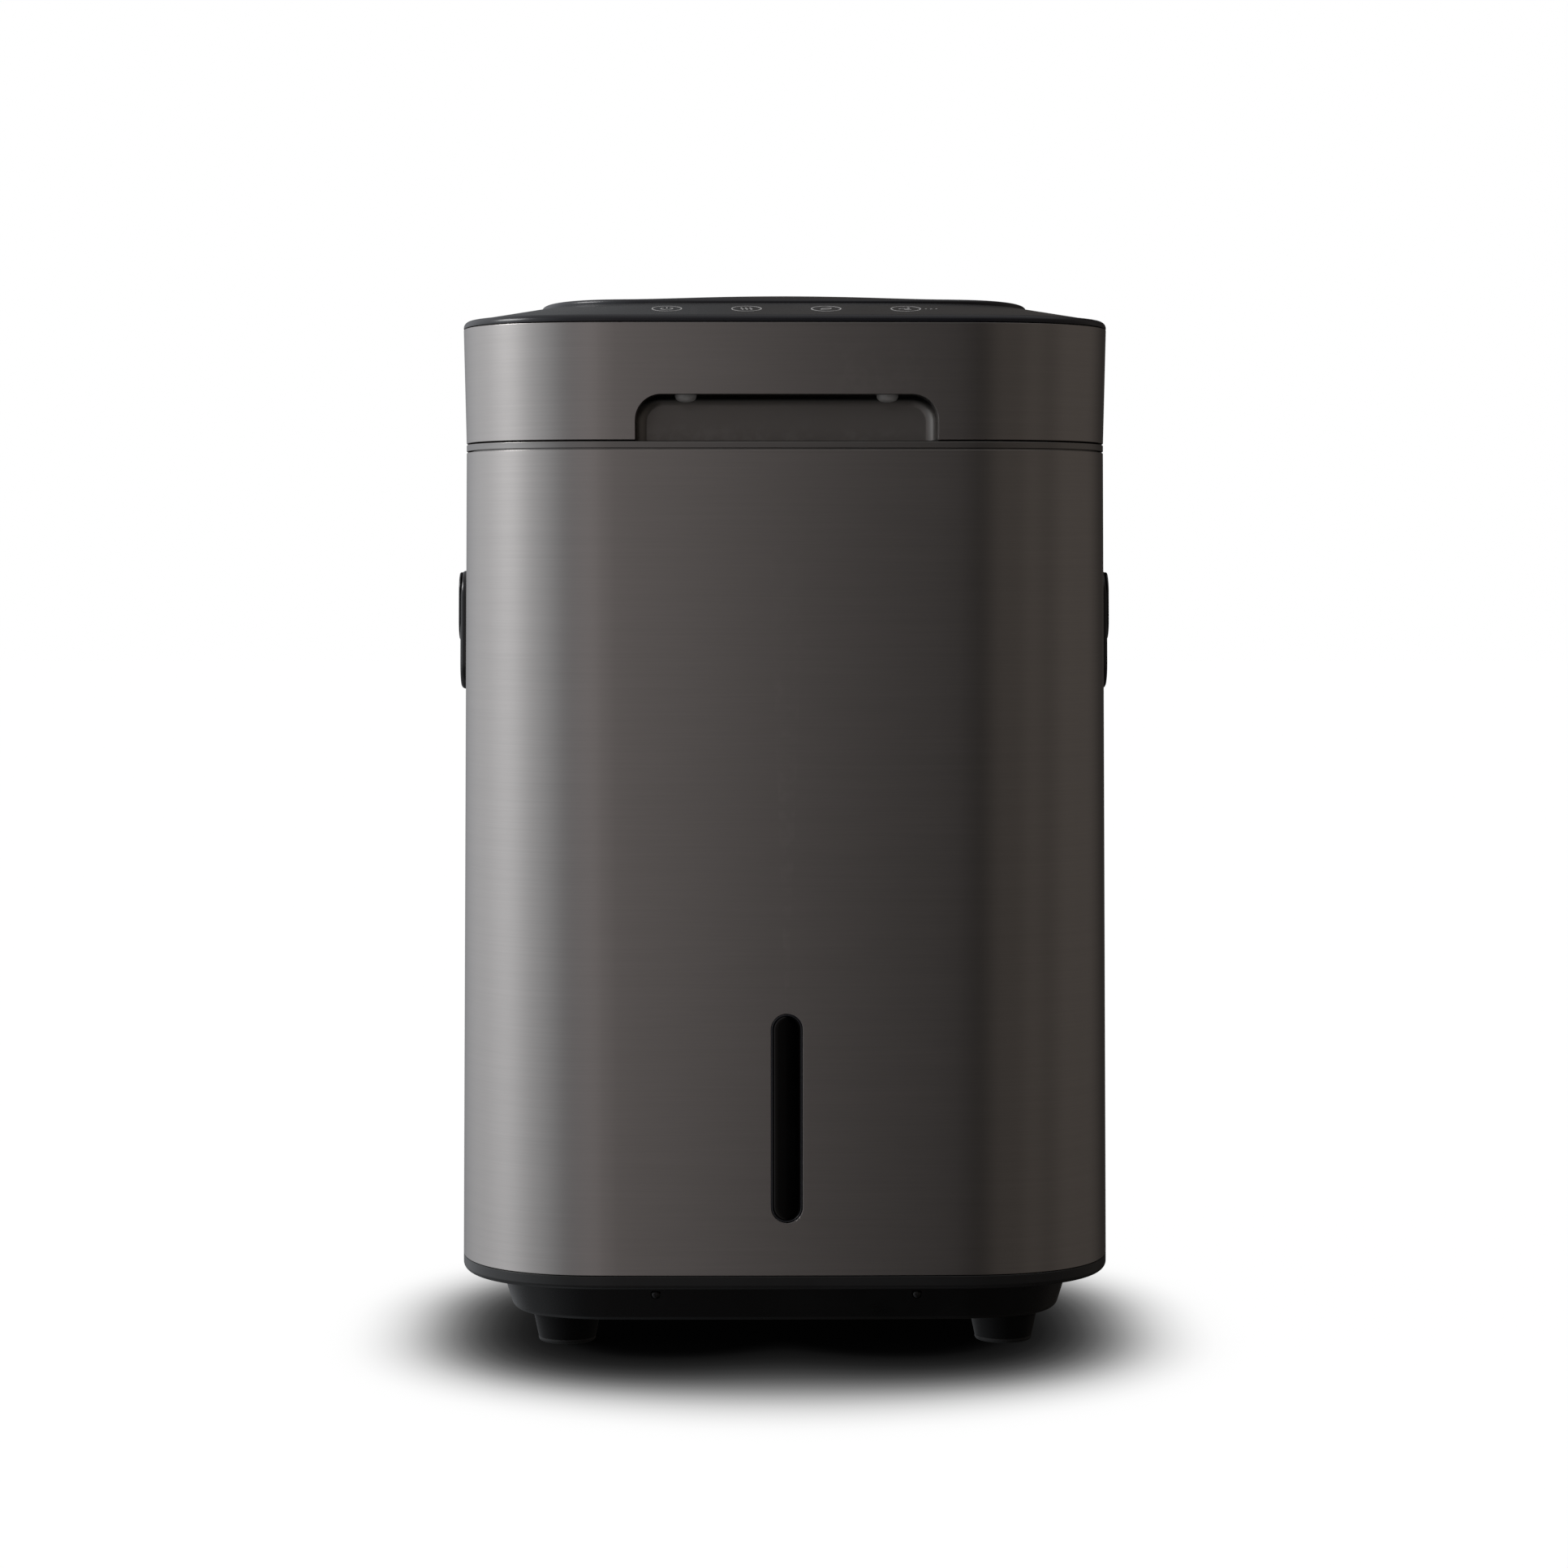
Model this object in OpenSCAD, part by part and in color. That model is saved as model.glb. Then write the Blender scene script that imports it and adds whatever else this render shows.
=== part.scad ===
// Electric food waste composter: a tall rounded cabinet with a hinged lid, a stirred
// steel tank, a carbon filter drawer at the back and a touch panel in the lid.
// Millimetres, +Z up, front towards -Y, origin on the floor under the middle.

/* [Body] */
// Width of the body at its foot
body_w = 333.4; // [328:0.2:360]
// Depth of the body at its foot
body_d = 375; // [372:1:400]
// Height of the body shell
body_h = 411.5; // [405:0.5:440]
// How far each wall leans in by the top of the shell
body_draft = 3.5; // [1:0.5:5]
// Radius of the upright corners
corner_r = 68; // [50:1:80]
// Bow of the front face
front_bow = 2.5; // [0:0.5:6]
// Thickness of the outer shell
shell_wall = 2.5; // [2:0.5:3]
// Width of the dark seams between the pieces
seam = 0.7; // [0.4:0.1:1]

/* [Base] */
// Height of the feet under the base pan
foot_h = 16.8; // [14:0.2:30]
// Radius of a foot at its top
foot_r = 17.5; // [14:0.5:22]
// How much narrower a foot is at its bottom
foot_taper = 2.8; // [0:0.2:5]
// Thickness of the rubber pads under the feet
pad_t = 2.4; // [1:0.2:4]
// Distance of a foot's middle from the body's side
foot_side = 54.2; // [51:0.2:70]
// Distance of a foot's middle from the body's front or back
foot_end = 62.5; // [57.5:0.5:78]
// Height of the base pan
pan_h = 20.4; // [14:0.2:28]
// How far the base pan stands back from the body
pan_inset = 19.5; // [18:0.5:26]
// Thickness of the base pan
pan_wall = 3; // [2:0.5:4]
// Height of the black trim ring under the shell
ring_h = 7.2; // [4:0.2:10]
// How far the trim ring rounds in at its lower edge
ring_round = 2.5; // [2:0.5:6]

/* [Rim] */
// Height of the rim band between the lid and the shell
rim_h = 3.3; // [2.5:0.1:6]
// Thickness of the seal between the tank and the rim
seal_t = 1.6; // [1:0.2:3]

/* [Lid] */
// Height of the lid skirt
lid_h = 57.8; // [52:0.2:75]
// How far the lid flares out by its top
lid_flare = 1.2; // [0:0.1:3]
// Height of the glossy edge band
band_h = 3.6; // [3:0.2:6]
// Width of the sloping panel round the lid
deck_run = 40; // [34:1:48]
// Rise of the sloping panel
deck_rise = 8; // [5:0.5:12]
// Thickness of the sloping panel
deck_t = 2.5; // [2:0.5:4]
// Radius of the raised cover's corners
dome_r = 64; // [40:1:80]
// Height of the raised cover's edge
dome_edge = 1.8; // [1:0.2:4]
// How far the raised cover's middle rises above its edge
dome_crown = 9; // [3:0.5:12]
// Thickness of the raised cover
dome_t = 2.5; // [2:0.5:3]
// Opening angle of the lid, for drawing it open
lid_open = 0; // [0:1:85]

/* [Finger recess] */
// Width of the finger recess in the lid
grip_w = 150.2; // [110:0.2:170]
// Height of the finger recess
grip_h = 22.6; // [18:0.2:30]
// Radius of its upper corners
grip_r = 13; // [8:0.5:16]
// Depth of the finger recess behind the lid's front
grip_depth = 24; // [18:1:30]
// Spacing of the two screw plugs in its ceiling
plug_gap = 100; // [70:1:110]
// Radius of a screw plug
plug_r = 5.4; // [4:0.2:7]
// How far a screw plug hangs down
plug_h = 3.8; // [2:0.2:6]

/* [Sensor window] */
// Width of the sensor window
window_w = 13.8; // [12:0.2:24]
// Height of the sensor window
window_h = 102.7; // [80:0.1:130]
// Height of the window's middle above the shell's lower edge
window_up = 79; // [70:0.5:120]
// Width of the window's bezel
bezel_w = 1.1; // [0.8:0.1:2]

/* [Side handles] */
// Length of a side handle
handle_l = 140; // [110:1:150]
// Height of a side handle
handle_h = 62; // [56:1:70]
// Distance of the handle's upper edge below the shell's upper edge
handle_down = 60; // [45:0.5:80]
// How far the handle frame stands out
handle_out = 5.2; // [4:0.1:8]
// Thickness of the grip pad on the frame
grip_pad_t = 0.9; // [0.8:0.1:3]
// Depth of the finger pocket inside the shell
pocket_depth = 19; // [15:1:20]
// Height of the pocket's mouth
pocket_h = 20; // [18:1:26]

/* [Tank] */
// Inner radius of the tank's round bottom
tank_r = 110; // [95:1:114]
// Height from the stirring axis up to the tank's rim
tank_up = 155; // [135:1:158]
// Distance of the tank's front wall behind the body's front
tank_in = 57.5; // [52:0.5:64]
// Thickness of the tank's sheet
tank_t = 1.5; // [1:0.1:2]
// Width of the flange round the tank's rim
flange_w = 9; // [6:1:12]

/* [Stirring drive] */
// Radius of the stirring shaft
shaft_r = 8; // [6:0.5:10]
// Number of paddles
paddle_count = 4; // [2:1:4]
// Clearance between the paddles and the tank
paddle_gap = 8; // [5:1:15]
// Clearance between the tank's bottom and the gear motor
motor_gap = 10.5; // [6:0.5:16]
// Clearance between the gears and the handle pockets
drive_gap = 4; // [3:0.5:12]
// Teeth of the gear on the stirring shaft
driven_teeth = 68; // [66:1:70]
// Teeth of the idler gear
idler_teeth = 32; // [31:1:33]
// Teeth of the motor pinion
pinion_teeth = 18; // [17:1:19]
// Width of the gears
gear_w = 8; // [6:0.5:9]
// Thickness of the steel side plates
plate_t = 2.5; // [2:0.5:3]

/* [Air path] */
// Outer side of the square fan frame
fan_side = 60; // [50:1:70]
// Depth of the fan frame
fan_d = 25; // [20:1:28]
// Number of fan blades
fan_blades = 7; // [5:1:9]
// Distance of the filter bay from the side of the opening in the shell's back
bay_side = 20; // [18:1:28]
// Inner height of the filter bay
bay_h = 93; // [80:1:100]
// Distance of the drawer's face below the upper edge of the opening in the shell's back
face_down = 4.3; // [3:0.1:12]
// Wall of the filter bay
bay_wall = 2; // [1.5:0.5:3]
// Clearance between the filter drawer and its bay
slide_gap = 0.8; // [0.4:0.1:1.2]

/* [Back panel] */
// How far the opening in the shell's back stays inside the back's flat part
back_side = 5; // [5:0.5:8]
// Height of that opening's lower edge above the shell's lower edge
back_up = 16; // [12:1:20]
// Distance of that opening's upper edge below the shell's upper edge
back_down = 15.5; // [14:0.5:24]
// How far the panel laps behind the shell round that opening
flange_lap = 5; // [3:0.5:5]
// Thickness of the back panel
panel_t = 2.5; // [2:0.5:3]
// Width of a vent slot
slot_w = 4; // [3:0.5:6]

/* [Hinge] */
// Radius of the hinge barrel
hinge_r = 7.5; // [7:0.25:8]
// How far the hinge axis lies inside the back wall
hinge_in = 4; // [4:0.5:5]
// Length of the fixed barrel
barrel_l = 90; // [70:1:100]
// Length of each lid knuckle
knuckle_l = 24; // [16:1:30]
// Radius of the hinge shafts
hinge_pin_r = 3; // [2:0.25:3.5]

/* [Hidden] */
$fn = 64;

eps = 0.01;            // overlap that keeps cuts clean
run_gap = 0.05;        // running clearance of shafts in their bores
fit_gap = 0.3;         // clearance between fixed pieces
arc_steps = 12;        // facets in each upright corner
front_steps = 8;       // facets across the bowed front

// Colours of the finishes
c_shell = [0.30, 0.28, 0.27];
c_trim = [0.08, 0.08, 0.085];
c_gloss = [0.03, 0.03, 0.035];
c_deck = [0.24, 0.24, 0.24];
c_steel = [0.72, 0.72, 0.70];
c_plastic = [0.16, 0.16, 0.165];
c_rubber = [0.10, 0.10, 0.10];
c_plug = [0.55, 0.54, 0.52];
c_nylon = [0.86, 0.84, 0.78];
c_board = [0.07, 0.30, 0.17];
c_brass = [0.78, 0.62, 0.30];
c_carbon = [0.12, 0.12, 0.13];
c_silicone = [0.62, 0.62, 0.62];
c_copper = [0.72, 0.42, 0.20];

// Heights of the stacked pieces
z_pan = foot_h;
z_floor = z_pan + pan_wall;
z_ring = z_pan + pan_h;
z_shell = z_ring + ring_h;
z_rim = z_shell + body_h + seam;
z_rim_top = z_rim + rim_h;
z_lid = z_rim_top + seam;
z_band = z_lid + lid_h + seam / 2;
z_deck = z_band + band_h;
z_dome = z_deck + deck_rise;
lean_angle = atan(body_draft / body_h);

// Places that follow from the body's outline
foot_x = body_w / 2 - foot_side;
foot_y = body_d / 2 - foot_end;
handle_up = body_h - handle_down - handle_h;   // handle's lower edge over the shell's lower edge
pan_in_x = body_w / 2 - pan_inset - pan_wall;  // inner faces of the base pan
pan_in_y = body_d / 2 - pan_inset - pan_wall;

// Gears and side plates, from the handle pockets inwards
plate_gap = 0.5;                    // clearance between the tank and a side plate
gear_gap = 2;                       // clearance between the side plate and the gears
gear_x = body_w / 2 - body_draft - pocket_depth - drive_gap - gear_w;   // inner face of the gears
plate_x = gear_x - gear_gap - plate_t;                                  // inner face of a side plate

// Stirring axis and tank
tank_y = -body_d / 2 + tank_in + tank_r;
tank_out = plate_x - plate_gap;
tank_half = tank_out - tank_t;
tank_w = 2 * tank_half;
z_tank_top = z_rim - seal_t;
z_axis = z_tank_top - tank_up;
mouth_r = 22;           // corner radius of the mouth in the rim
flange_t = 2;           // thickness of the tank's flange
bushing_r = shaft_r + 4;
bushing_flange_r = bushing_r + 5;
bushing_flange_t = 3;
seal_ring_t = 3;
plate_half_y = 80;
plate_top = z_axis + 90;
plate_foot = 18;                    // width of the plate's folded foot
clip_t = 1.2;
shaft_left = plate_x + plate_t + 4;
shaft_right = gear_x + gear_w + 3;

// Gear train, straight down from the stirring axis
pressure_angle = 20;
backlash = 0.15;
gearbox_side = 56;
gear_m = (tank_r + tank_t + motor_gap + gearbox_side / 2) / (driven_teeth / 2 + idler_teeth + pinion_teeth / 2);
driven_r = gear_m * driven_teeth / 2;
idler_r = gear_m * idler_teeth / 2;
pinion_r = gear_m * pinion_teeth / 2;
mesh_gap = 0.1;                     // extra distance between gear centres
z_idler = z_axis - driven_r - idler_r - mesh_gap;
z_motor = z_idler - idler_r - pinion_r - mesh_gap;
down = -90;                         // direction from one gear to the next
driven_phase = down;
idler_phase = down + 180 + 180 / idler_teeth;
idler_lead = down - idler_phase;
pinion_phase = down + 180 + idler_lead * idler_teeth / pinion_teeth + 180 / pinion_teeth;
axle_r = 5;
motor_shaft_r = 5;
gearbox_l = 36;
motor_r = 24;
motor_l = 52;
motor_screw_gap = 44;

// Back panel and what it carries
z_back = z_shell + back_up;
back_w = body_w - 2 * corner_r - 2 * back_side;
back_h = body_h - back_up - back_down;
panel_y = wall_y(z_back + back_h + flange_lap) - shell_wall - fit_gap;   // outer face of the lap
panel_in = panel_y - panel_t;
drawer_face_lap = 4;                // how far the drawer's face laps the bay
bay_w = back_w - 2 * bay_side;
z_bay = z_back + back_h - face_down - drawer_face_lap - bay_h / 2;
bay_front = tank_y + tank_r + tank_t + 5;
bay_back = panel_in - fit_gap;
drawer_w = bay_w - 2 * slide_gap;
drawer_h = bay_h - 2 * slide_gap;
drawer_front_y = bay_front + bay_wall + 4;
drawer_face_t = 3;
air_low = z_bay - 20;               // air slots between the bay and the drawer
air_high = z_bay + 30;
outlet_z = z_bay + 18;              // middle of the tank's air outlet
outlet_h = 20;
fan_z = z_bay - bay_h / 2 - bay_wall - fan_side / 2 - 6;
fan_y = panel_in - fan_d - fit_gap;
fan_bore_r = fan_side / 2 - 1.8;
fan_hub_r = 14;
inlet_x = back_w / 2 - 33;
inlet_z = z_back + 26;
inlet_w = 27;
inlet_h = 20;
inlet_flange = 5;

// Hinge
hinge_y = body_d / 2 - body_draft - hinge_in;
hinge_z = z_lid + hinge_r;
pin_out = barrel_l / 2 + 1 + knuckle_l;   // outer end of each knuckle

// ---------------------------------------------------------------- outlines and skins

// How far the body's wall leans in at height z
function lean(z) = body_draft * (z - z_shell) / body_h;

// Distance of the back wall's outer face from the middle at height z
function wall_y(z) = body_d / 2 - lean(z);

// Distance of a side wall's outer face from the middle at height z
function wall_x(z) = body_w / 2 - lean(z);

// How far the lid's skirt stands in from the body's foot at height z
function lid_lean(z) = body_draft - lid_flare * (z - z_lid) / lid_h;

// Points of an arc from angle a0 to a1
function arc(cx, cy, r, a0, a1) =
    [for (i = [0:arc_steps]) let (a = a0 + (a1 - a0) * i / arc_steps) [cx + r * cos(a), cy + r * sin(a)]];

// A rounded rectangle whose front edge bows out
function plan(w, d, r) =
    let (
        hx = w / 2 - r,
        hy = d / 2 - r,
        raw = concat(
            arc(hx, -hy, r, -90, 0),
            arc(hx, hy, r, 0, 90),
            arc(-hx, hy, r, 90, 180),
            arc(-hx, -hy, r, 180, 270),
            [for (i = [1:front_steps - 1]) [-hx + 2 * hx * i / front_steps, -d / 2]]
        )
    )
    [for (p = raw) p[1] < 0 ? [p[0], p[1] + front_bow * pow(2 * p[0] / w, 2)] : p];

// The body's outline, stood in by inset all round, as a loop at height z
function loop(inset, z) =
    [for (p = plan(body_w - 2 * inset, body_d - 2 * inset, max(corner_r - inset, 6))) [p[0], p[1], z]];

// The raised cover's outline, stood in by inset all round, as a loop at height z
function cover_loop(inset, z) =
    let (run = deck_run + inset)
    [for (p = plan(body_w - 2 * run, body_d - 2 * run, max(dome_r - inset, 6))) [p[0], p[1], z]];

// A solid skinned over loops that follow each other; around joins the last to the first
module skin(loops, around = false, apex = []) {
    n = len(loops[0]);
    m = len(loops);
    sides = [
        for (j = [0:around ? m - 1 : m - 2], i = [0:n - 1])
            let (
                a = j * n + i,
                b = j * n + (i + 1) % n,
                c = (j + 1) % m * n + (i + 1) % n,
                d = (j + 1) % m * n + i
            )
            each [[a, d, c], [a, c, b]]
    ];
    foot = around ? [] : [[for (i = [0:n - 1]) i]];
    head = around ? []
        : len(apex) == 0 ? [[for (i = [n - 1:-1:0]) (m - 1) * n + i]]
        : [for (i = [0:n - 1]) [(m - 1) * n + (i + 1) % n, (m - 1) * n + i, m * n]];
    polyhedron(
        points = concat([for (l = loops) each l], len(apex) == 0 ? [] : [apex]),
        faces = concat(sides, foot, head),
        convexity = 8
    );
}

// A rounded rectangle, centred, with exact arcs
module round_rect(w, h, r) {
    square([w - 2 * r, h], center = true);
    square([w, h - 2 * r], center = true);
    for (sx = [-1, 1], sy = [-1, 1])
        translate([sx * (w / 2 - r), sy * (h / 2 - r)]) circle(r);
}

// A rectangle with rounded upper corners, standing on its lower edge
module arch(w, h, r) {
    intersection() {
        translate([0, h / 2 - r]) round_rect(w, h + 2 * r, r);
        translate([-w / 2, 0]) square([w, h]);
    }
}

// A box given by its lowest and highest corners
module span(lo, hi) {
    translate(lo) cube(hi - lo);
}

// A cylinder along X from x0 to x1
module rod_x(r, x0, x1) {
    translate([x0, 0, 0]) rotate([0, 90, 0]) cylinder(r = r, h = x1 - x0);
}

// Children drawn on the front wall at height z: X to the right, Y up the wall, Z outwards
module on_front(z) {
    translate([0, -wall_y(z), z]) rotate([90 - lean_angle, 0, 0]) children();
}

// Children drawn on a side wall at height z: X to the back, Y up the wall, Z outwards
module on_side(side, z) {
    mirror([side < 0 ? 1 : 0, 0, 0])
        translate([wall_x(z), 0, z]) rotate([90, 0, 90]) rotate([-lean_angle, 0, 0]) children();
}

// ---------------------------------------------------------------- base

module base_pan() {
    top_in = pan_inset;
    low_in = pan_inset + 6;
    color(c_trim) difference() {
        skin([
            loop(low_in + 4.5, z_pan), loop(low_in + 1.2, z_pan + 0.6),
            loop(low_in, z_pan + 2.6), loop(top_in, z_ring)
        ]);
        skin([loop(low_in + pan_wall + 3, z_floor), loop(top_in + 2 + pan_wall, z_ring + eps)]);
        for (s = [-1, 1]) front_screw_seat(s) cylinder(r = pan_screw_r + 0.2, h = 12, center = true);
    }
}

pan_screw_r = 2;                   // head of a screw in the pan's front wall

// Places children on the pan's front wall, where a small screw shows on each side
module front_screw_seat(s) {
    screw_x = 66;
    screw_z = z_ring - 6.2;
    bow = front_bow * pow(2 * screw_x / (body_w - 2 * pan_inset), 2);
    translate([s * screw_x, -body_d / 2 + pan_inset + 2.4 + bow, screw_z]) rotate([90, 0, 0]) children();
}

module pan_screws() {
    color(c_steel) for (s = [-1, 1]) front_screw_seat(s) {
        cylinder(r = pan_screw_r, h = 1.6);
        translate([0, 0, -7]) cylinder(r = 0.6 * pan_screw_r, h = 7 + eps);
    }
}

module base_ring() {
    round_at = [for (a = [0:30:90]) [ring_round * (1 - cos(a)), ring_round * sin(a)]];
    low = z_ring + ring_round;
    top = z_shell - fit_gap;
    color(c_trim) skin([
        for (p = [for (i = [3:-1:0]) round_at[i]]) loop(p[0], low - p[1]),
        loop(0, top),
        loop(shell_wall + 1, top),
        loop(shell_wall + 1, z_ring + 3),
        loop(pan_inset + 6, z_ring + 3),
        loop(pan_inset + 6, z_ring)
    ], around = true);
}

module at_feet() {
    for (sx = [-1, 1], sy = [-1, 1]) translate([sx * foot_x, sy * foot_y, 0]) children();
}

module feet() {
    shoe = z_pan - pad_t;
    color(c_trim) at_feet() translate([0, 0, pad_t]) difference() {
        union() {
            cylinder(r1 = foot_r - foot_taper, r2 = foot_r - foot_taper + 1, h = 2);
            translate([0, 0, 2]) cylinder(r1 = foot_r - foot_taper + 1, r2 = foot_r, h = shoe - 2);
        }
        translate([0, 0, -eps]) cylinder(r = 3, h = 6);
    }
}

module foot_pads() {
    color(c_rubber) at_feet() {
        cylinder(r = foot_r - foot_taper, h = pad_t);
        translate([0, 0, pad_t - eps]) cylinder(r = 2.9, h = 4);
    }
}

// ---------------------------------------------------------------- shell and rim

module body_shell() {
    top = z_shell + body_h;
    color(c_shell) difference() {
        skin([
            loop(0, z_shell), loop(body_draft, top),
            loop(body_draft + shell_wall, top), loop(shell_wall, z_shell)
        ], around = true);
        window_hole();
        for (side = [-1, 1]) handle_hole(side);
        span([-back_w / 2, body_d / 2 - 30, z_back], [back_w / 2, body_d / 2 + 10, z_back + back_h]);
    }
}

module rim_frame() {
    skirt = 9;
    inset = body_draft;
    color(c_trim) difference() {
        union() {
            skin([loop(inset, z_rim), loop(inset, z_rim_top)]);
            skin([
                loop(inset + shell_wall + fit_gap, z_rim - skirt),
                loop(inset + shell_wall + fit_gap, z_rim + eps)
            ]);
        }
        skin([loop(inset + shell_wall + 3, z_rim - skirt - 1), loop(inset + shell_wall + 3, z_rim)]);
        translate([0, tank_y, z_rim - 1])
            linear_extrude(rim_h + 2) round_rect(tank_w, 2 * tank_r, mouth_r);
    }
}

// ---------------------------------------------------------------- sensor window

module stadium(w, h) {
    round_rect(w, h, w / 2 - eps);
}

module window_hole() {
    on_front(z_shell + window_up) translate([0, 0, -8])
        linear_extrude(16) stadium(window_w + 2 * bezel_w, window_h + 2 * bezel_w);
}

module window_bezel() {
    color(c_gloss) on_front(z_shell + window_up) difference() {
        union() {
            translate([0, 0, -3.5]) linear_extrude(3.2)
                stadium(window_w + 2 * bezel_w - 0.2, window_h + 2 * bezel_w - 0.2);
            translate([0, 0, -5.2]) linear_extrude(1.8) stadium(window_w + 9, window_h + 9);
        }
        translate([0, 0, -6]) linear_extrude(8) stadium(window_w, window_h);
    }
}

module sensor_window() {
    color(c_gloss) on_front(z_shell + window_up) {
        translate([0, 0, -5.2]) linear_extrude(4.2) stadium(window_w - 0.2, window_h - 0.2);
        translate([0, 0, -7]) linear_extrude(1.8) stadium(window_w + 6, window_h + 6);
    }
}

module sensor_board() {
    board_h = window_h - 20;
    color(c_board) on_front(z_shell + window_up) {
        translate([-9, -board_h / 2, -12]) cube([18, board_h, 1.6]);
        for (y = [-board_h / 3, 0, board_h / 3]) translate([0, y, -10.4]) cylinder(r = 2.5, h = 3.2);
    }
}

// ---------------------------------------------------------------- side handles

handle_y = -10;                    // middle of a handle, just ahead of the body's middle
cup_l = handle_l - 20;
cup_h = handle_h - 14;

module handle_hole(side) {
    on_side(side, z_shell + handle_up)
        translate([handle_y, 1 + cup_h / 2, -12]) linear_extrude(24) round_rect(cup_l + 1, cup_h + 1, 8);
}

module handle_frame(side) {
    bow_room = 0.2;
    color(c_plastic) on_side(side, z_shell + handle_up) translate([handle_y, 0, bow_room]) difference() {
        union() {
            translate([0, handle_h / 2, 0]) linear_extrude(handle_out - 1.2) round_rect(handle_l, handle_h, 14);
            translate([0, handle_h / 2, handle_out - 1.2])
                linear_extrude(1.2) round_rect(handle_l - 2, handle_h - 2, 13);
            translate([0, 1 + cup_h / 2, -pocket_depth]) linear_extrude(pocket_depth + eps)
                round_rect(cup_l, cup_h, 8);
        }
        translate([0, 5 + pocket_h / 2, -pocket_depth + 2]) linear_extrude(pocket_depth + 20)
            round_rect(cup_l - 8, pocket_h, 9);
        translate([0, 5 + (cup_h - 8) / 2, -pocket_depth + 2]) linear_extrude(pocket_depth - 4)
            round_rect(cup_l - 8, cup_h - 8, 6);
    }
}

module handle_grip(side) {
    pad_h = handle_h - pocket_h - 6.5;
    pad_r = min(11, pad_h / 2 - eps);
    color(c_plastic) on_side(side, z_shell + handle_up)
        translate([handle_y, handle_h - 0.8 - pad_h / 2, handle_out + 0.2]) {
            linear_extrude(grip_pad_t / 2) round_rect(handle_l - 3, pad_h, pad_r);
            translate([0, 0, grip_pad_t / 2])
                linear_extrude(grip_pad_t / 2) round_rect(handle_l - 5, pad_h - 2, pad_r - 1);
        }
}

module handle_frame_left() handle_frame(-1);
module handle_frame_right() handle_frame(1);
module handle_grip_left() handle_grip(-1);
module handle_grip_right() handle_grip(1);

// ---------------------------------------------------------------- back panel

panel_screw_z = [10, back_h / 2 - 60, back_h - 10];

module at_panel_screws() {
    for (s = [-1, 1], dz = panel_screw_z)
        translate([s * (back_w / 2 - 9), panel_y + 1.6, z_back + dz]) rotate([-90, 0, 0]) children();
}

module back_panel() {
    lid_gap = 0.4;
    slot_pitch = 2 * slot_w;
    face = panel_y + 1.6;
    color(c_trim) difference() {
        union() {
            span([-back_w / 2 - flange_lap, panel_in, z_back - flange_lap],
                 [back_w / 2 + flange_lap, panel_y, z_back + back_h + flange_lap]);
            span([-back_w / 2 + lid_gap, panel_y - eps, z_back + lid_gap],
                 [back_w / 2 - lid_gap, face, z_back + back_h - lid_gap]);
        }
        // opening for the drawer's face
        translate([0, panel_in - 1, z_bay]) rotate([-90, 0, 0])
            linear_extrude(20) round_rect(bay_w, bay_h, slide_gap);
        translate([0, face - 1.2, z_bay]) rotate([-90, 0, 0])
            linear_extrude(20) round_rect(bay_w + 2 * drawer_face_lap, bay_h + 2 * drawer_face_lap, 6);
        // air outlet in front of the fan
        for (i = [-6:6]) span([i * slot_pitch - slot_w / 2, panel_in - 1, fan_z - fan_side / 2],
                              [i * slot_pitch + slot_w / 2, face + 1, fan_z + fan_side / 2 - 4]);
        // air inlet low down
        for (i = [-7:3]) span([i * slot_pitch - slot_w / 2, panel_in - 1, inlet_z - 12],
                              [i * slot_pitch + slot_w / 2, face + 1, inlet_z + 24]);
        // power inlet
        span([inlet_x - inlet_w / 2 - 0.2, panel_in - 1, inlet_z - inlet_h / 2 - 0.2],
             [inlet_x + inlet_w / 2 + 0.2, face + 1, inlet_z + inlet_h / 2 + 0.2]);
        at_panel_screws() {
            translate([0, 0, -8]) cylinder(r = 1.7, h = 12);
            translate([0, 0, -1.4]) cylinder(r = 3.6, h = 4);
        }
    }
}

module panel_screws() {
    color(c_steel) at_panel_screws() {
        translate([0, 0, -1.4]) difference() {
            cylinder(r = 3.3, h = 1.4);
            for (a = [0, 90]) rotate([0, 0, a]) translate([-2, -0.4, 0.7]) cube([4, 0.8, 2]);
        }
        translate([0, 0, -8]) cylinder(r = 1.5, h = 6.7);
    }
}

module power_inlet() {
    socket_wall = 1.8;
    face = panel_y + 1.6;
    color(c_gloss) difference() {
        union() {
            span([inlet_x - inlet_w / 2, face - 22, inlet_z - inlet_h / 2],
                 [inlet_x + inlet_w / 2, face + 0.4, inlet_z + inlet_h / 2]);
            span([inlet_x - inlet_w / 2 - inlet_flange, face, inlet_z - inlet_h / 2 - 2],
                 [inlet_x + inlet_w / 2 + inlet_flange, face + 1.6, inlet_z + inlet_h / 2 + 2]);
        }
        span([inlet_x - inlet_w / 2 + socket_wall, face - 16, inlet_z - inlet_h / 2 + socket_wall],
             [inlet_x + inlet_w / 2 - socket_wall, face + 5, inlet_z + inlet_h / 2 - socket_wall]);
        at_inlet_pins() cube([2.2, 12, 4.2], center = true);
    }
}

module at_inlet_pins() {
    for (p = [[-7, 0], [0, 3], [7, 0]])
        translate([inlet_x + p[0], panel_y + 1.6 - 19, inlet_z - 2 + p[1]]) children();
}

module inlet_pins() {
    color(c_brass) at_inlet_pins() translate([-1, -6, -2]) cube([2, 18, 4]);
}

// ---------------------------------------------------------------- tank and stirrer

// The tank's section, grown by g: a round bottom with upright walls
module trough(g) {
    circle(tank_r + g);
    translate([-tank_r - g, 0]) square([2 * (tank_r + g), tank_up + (g > 0 ? 0 : 1)]);
}

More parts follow.
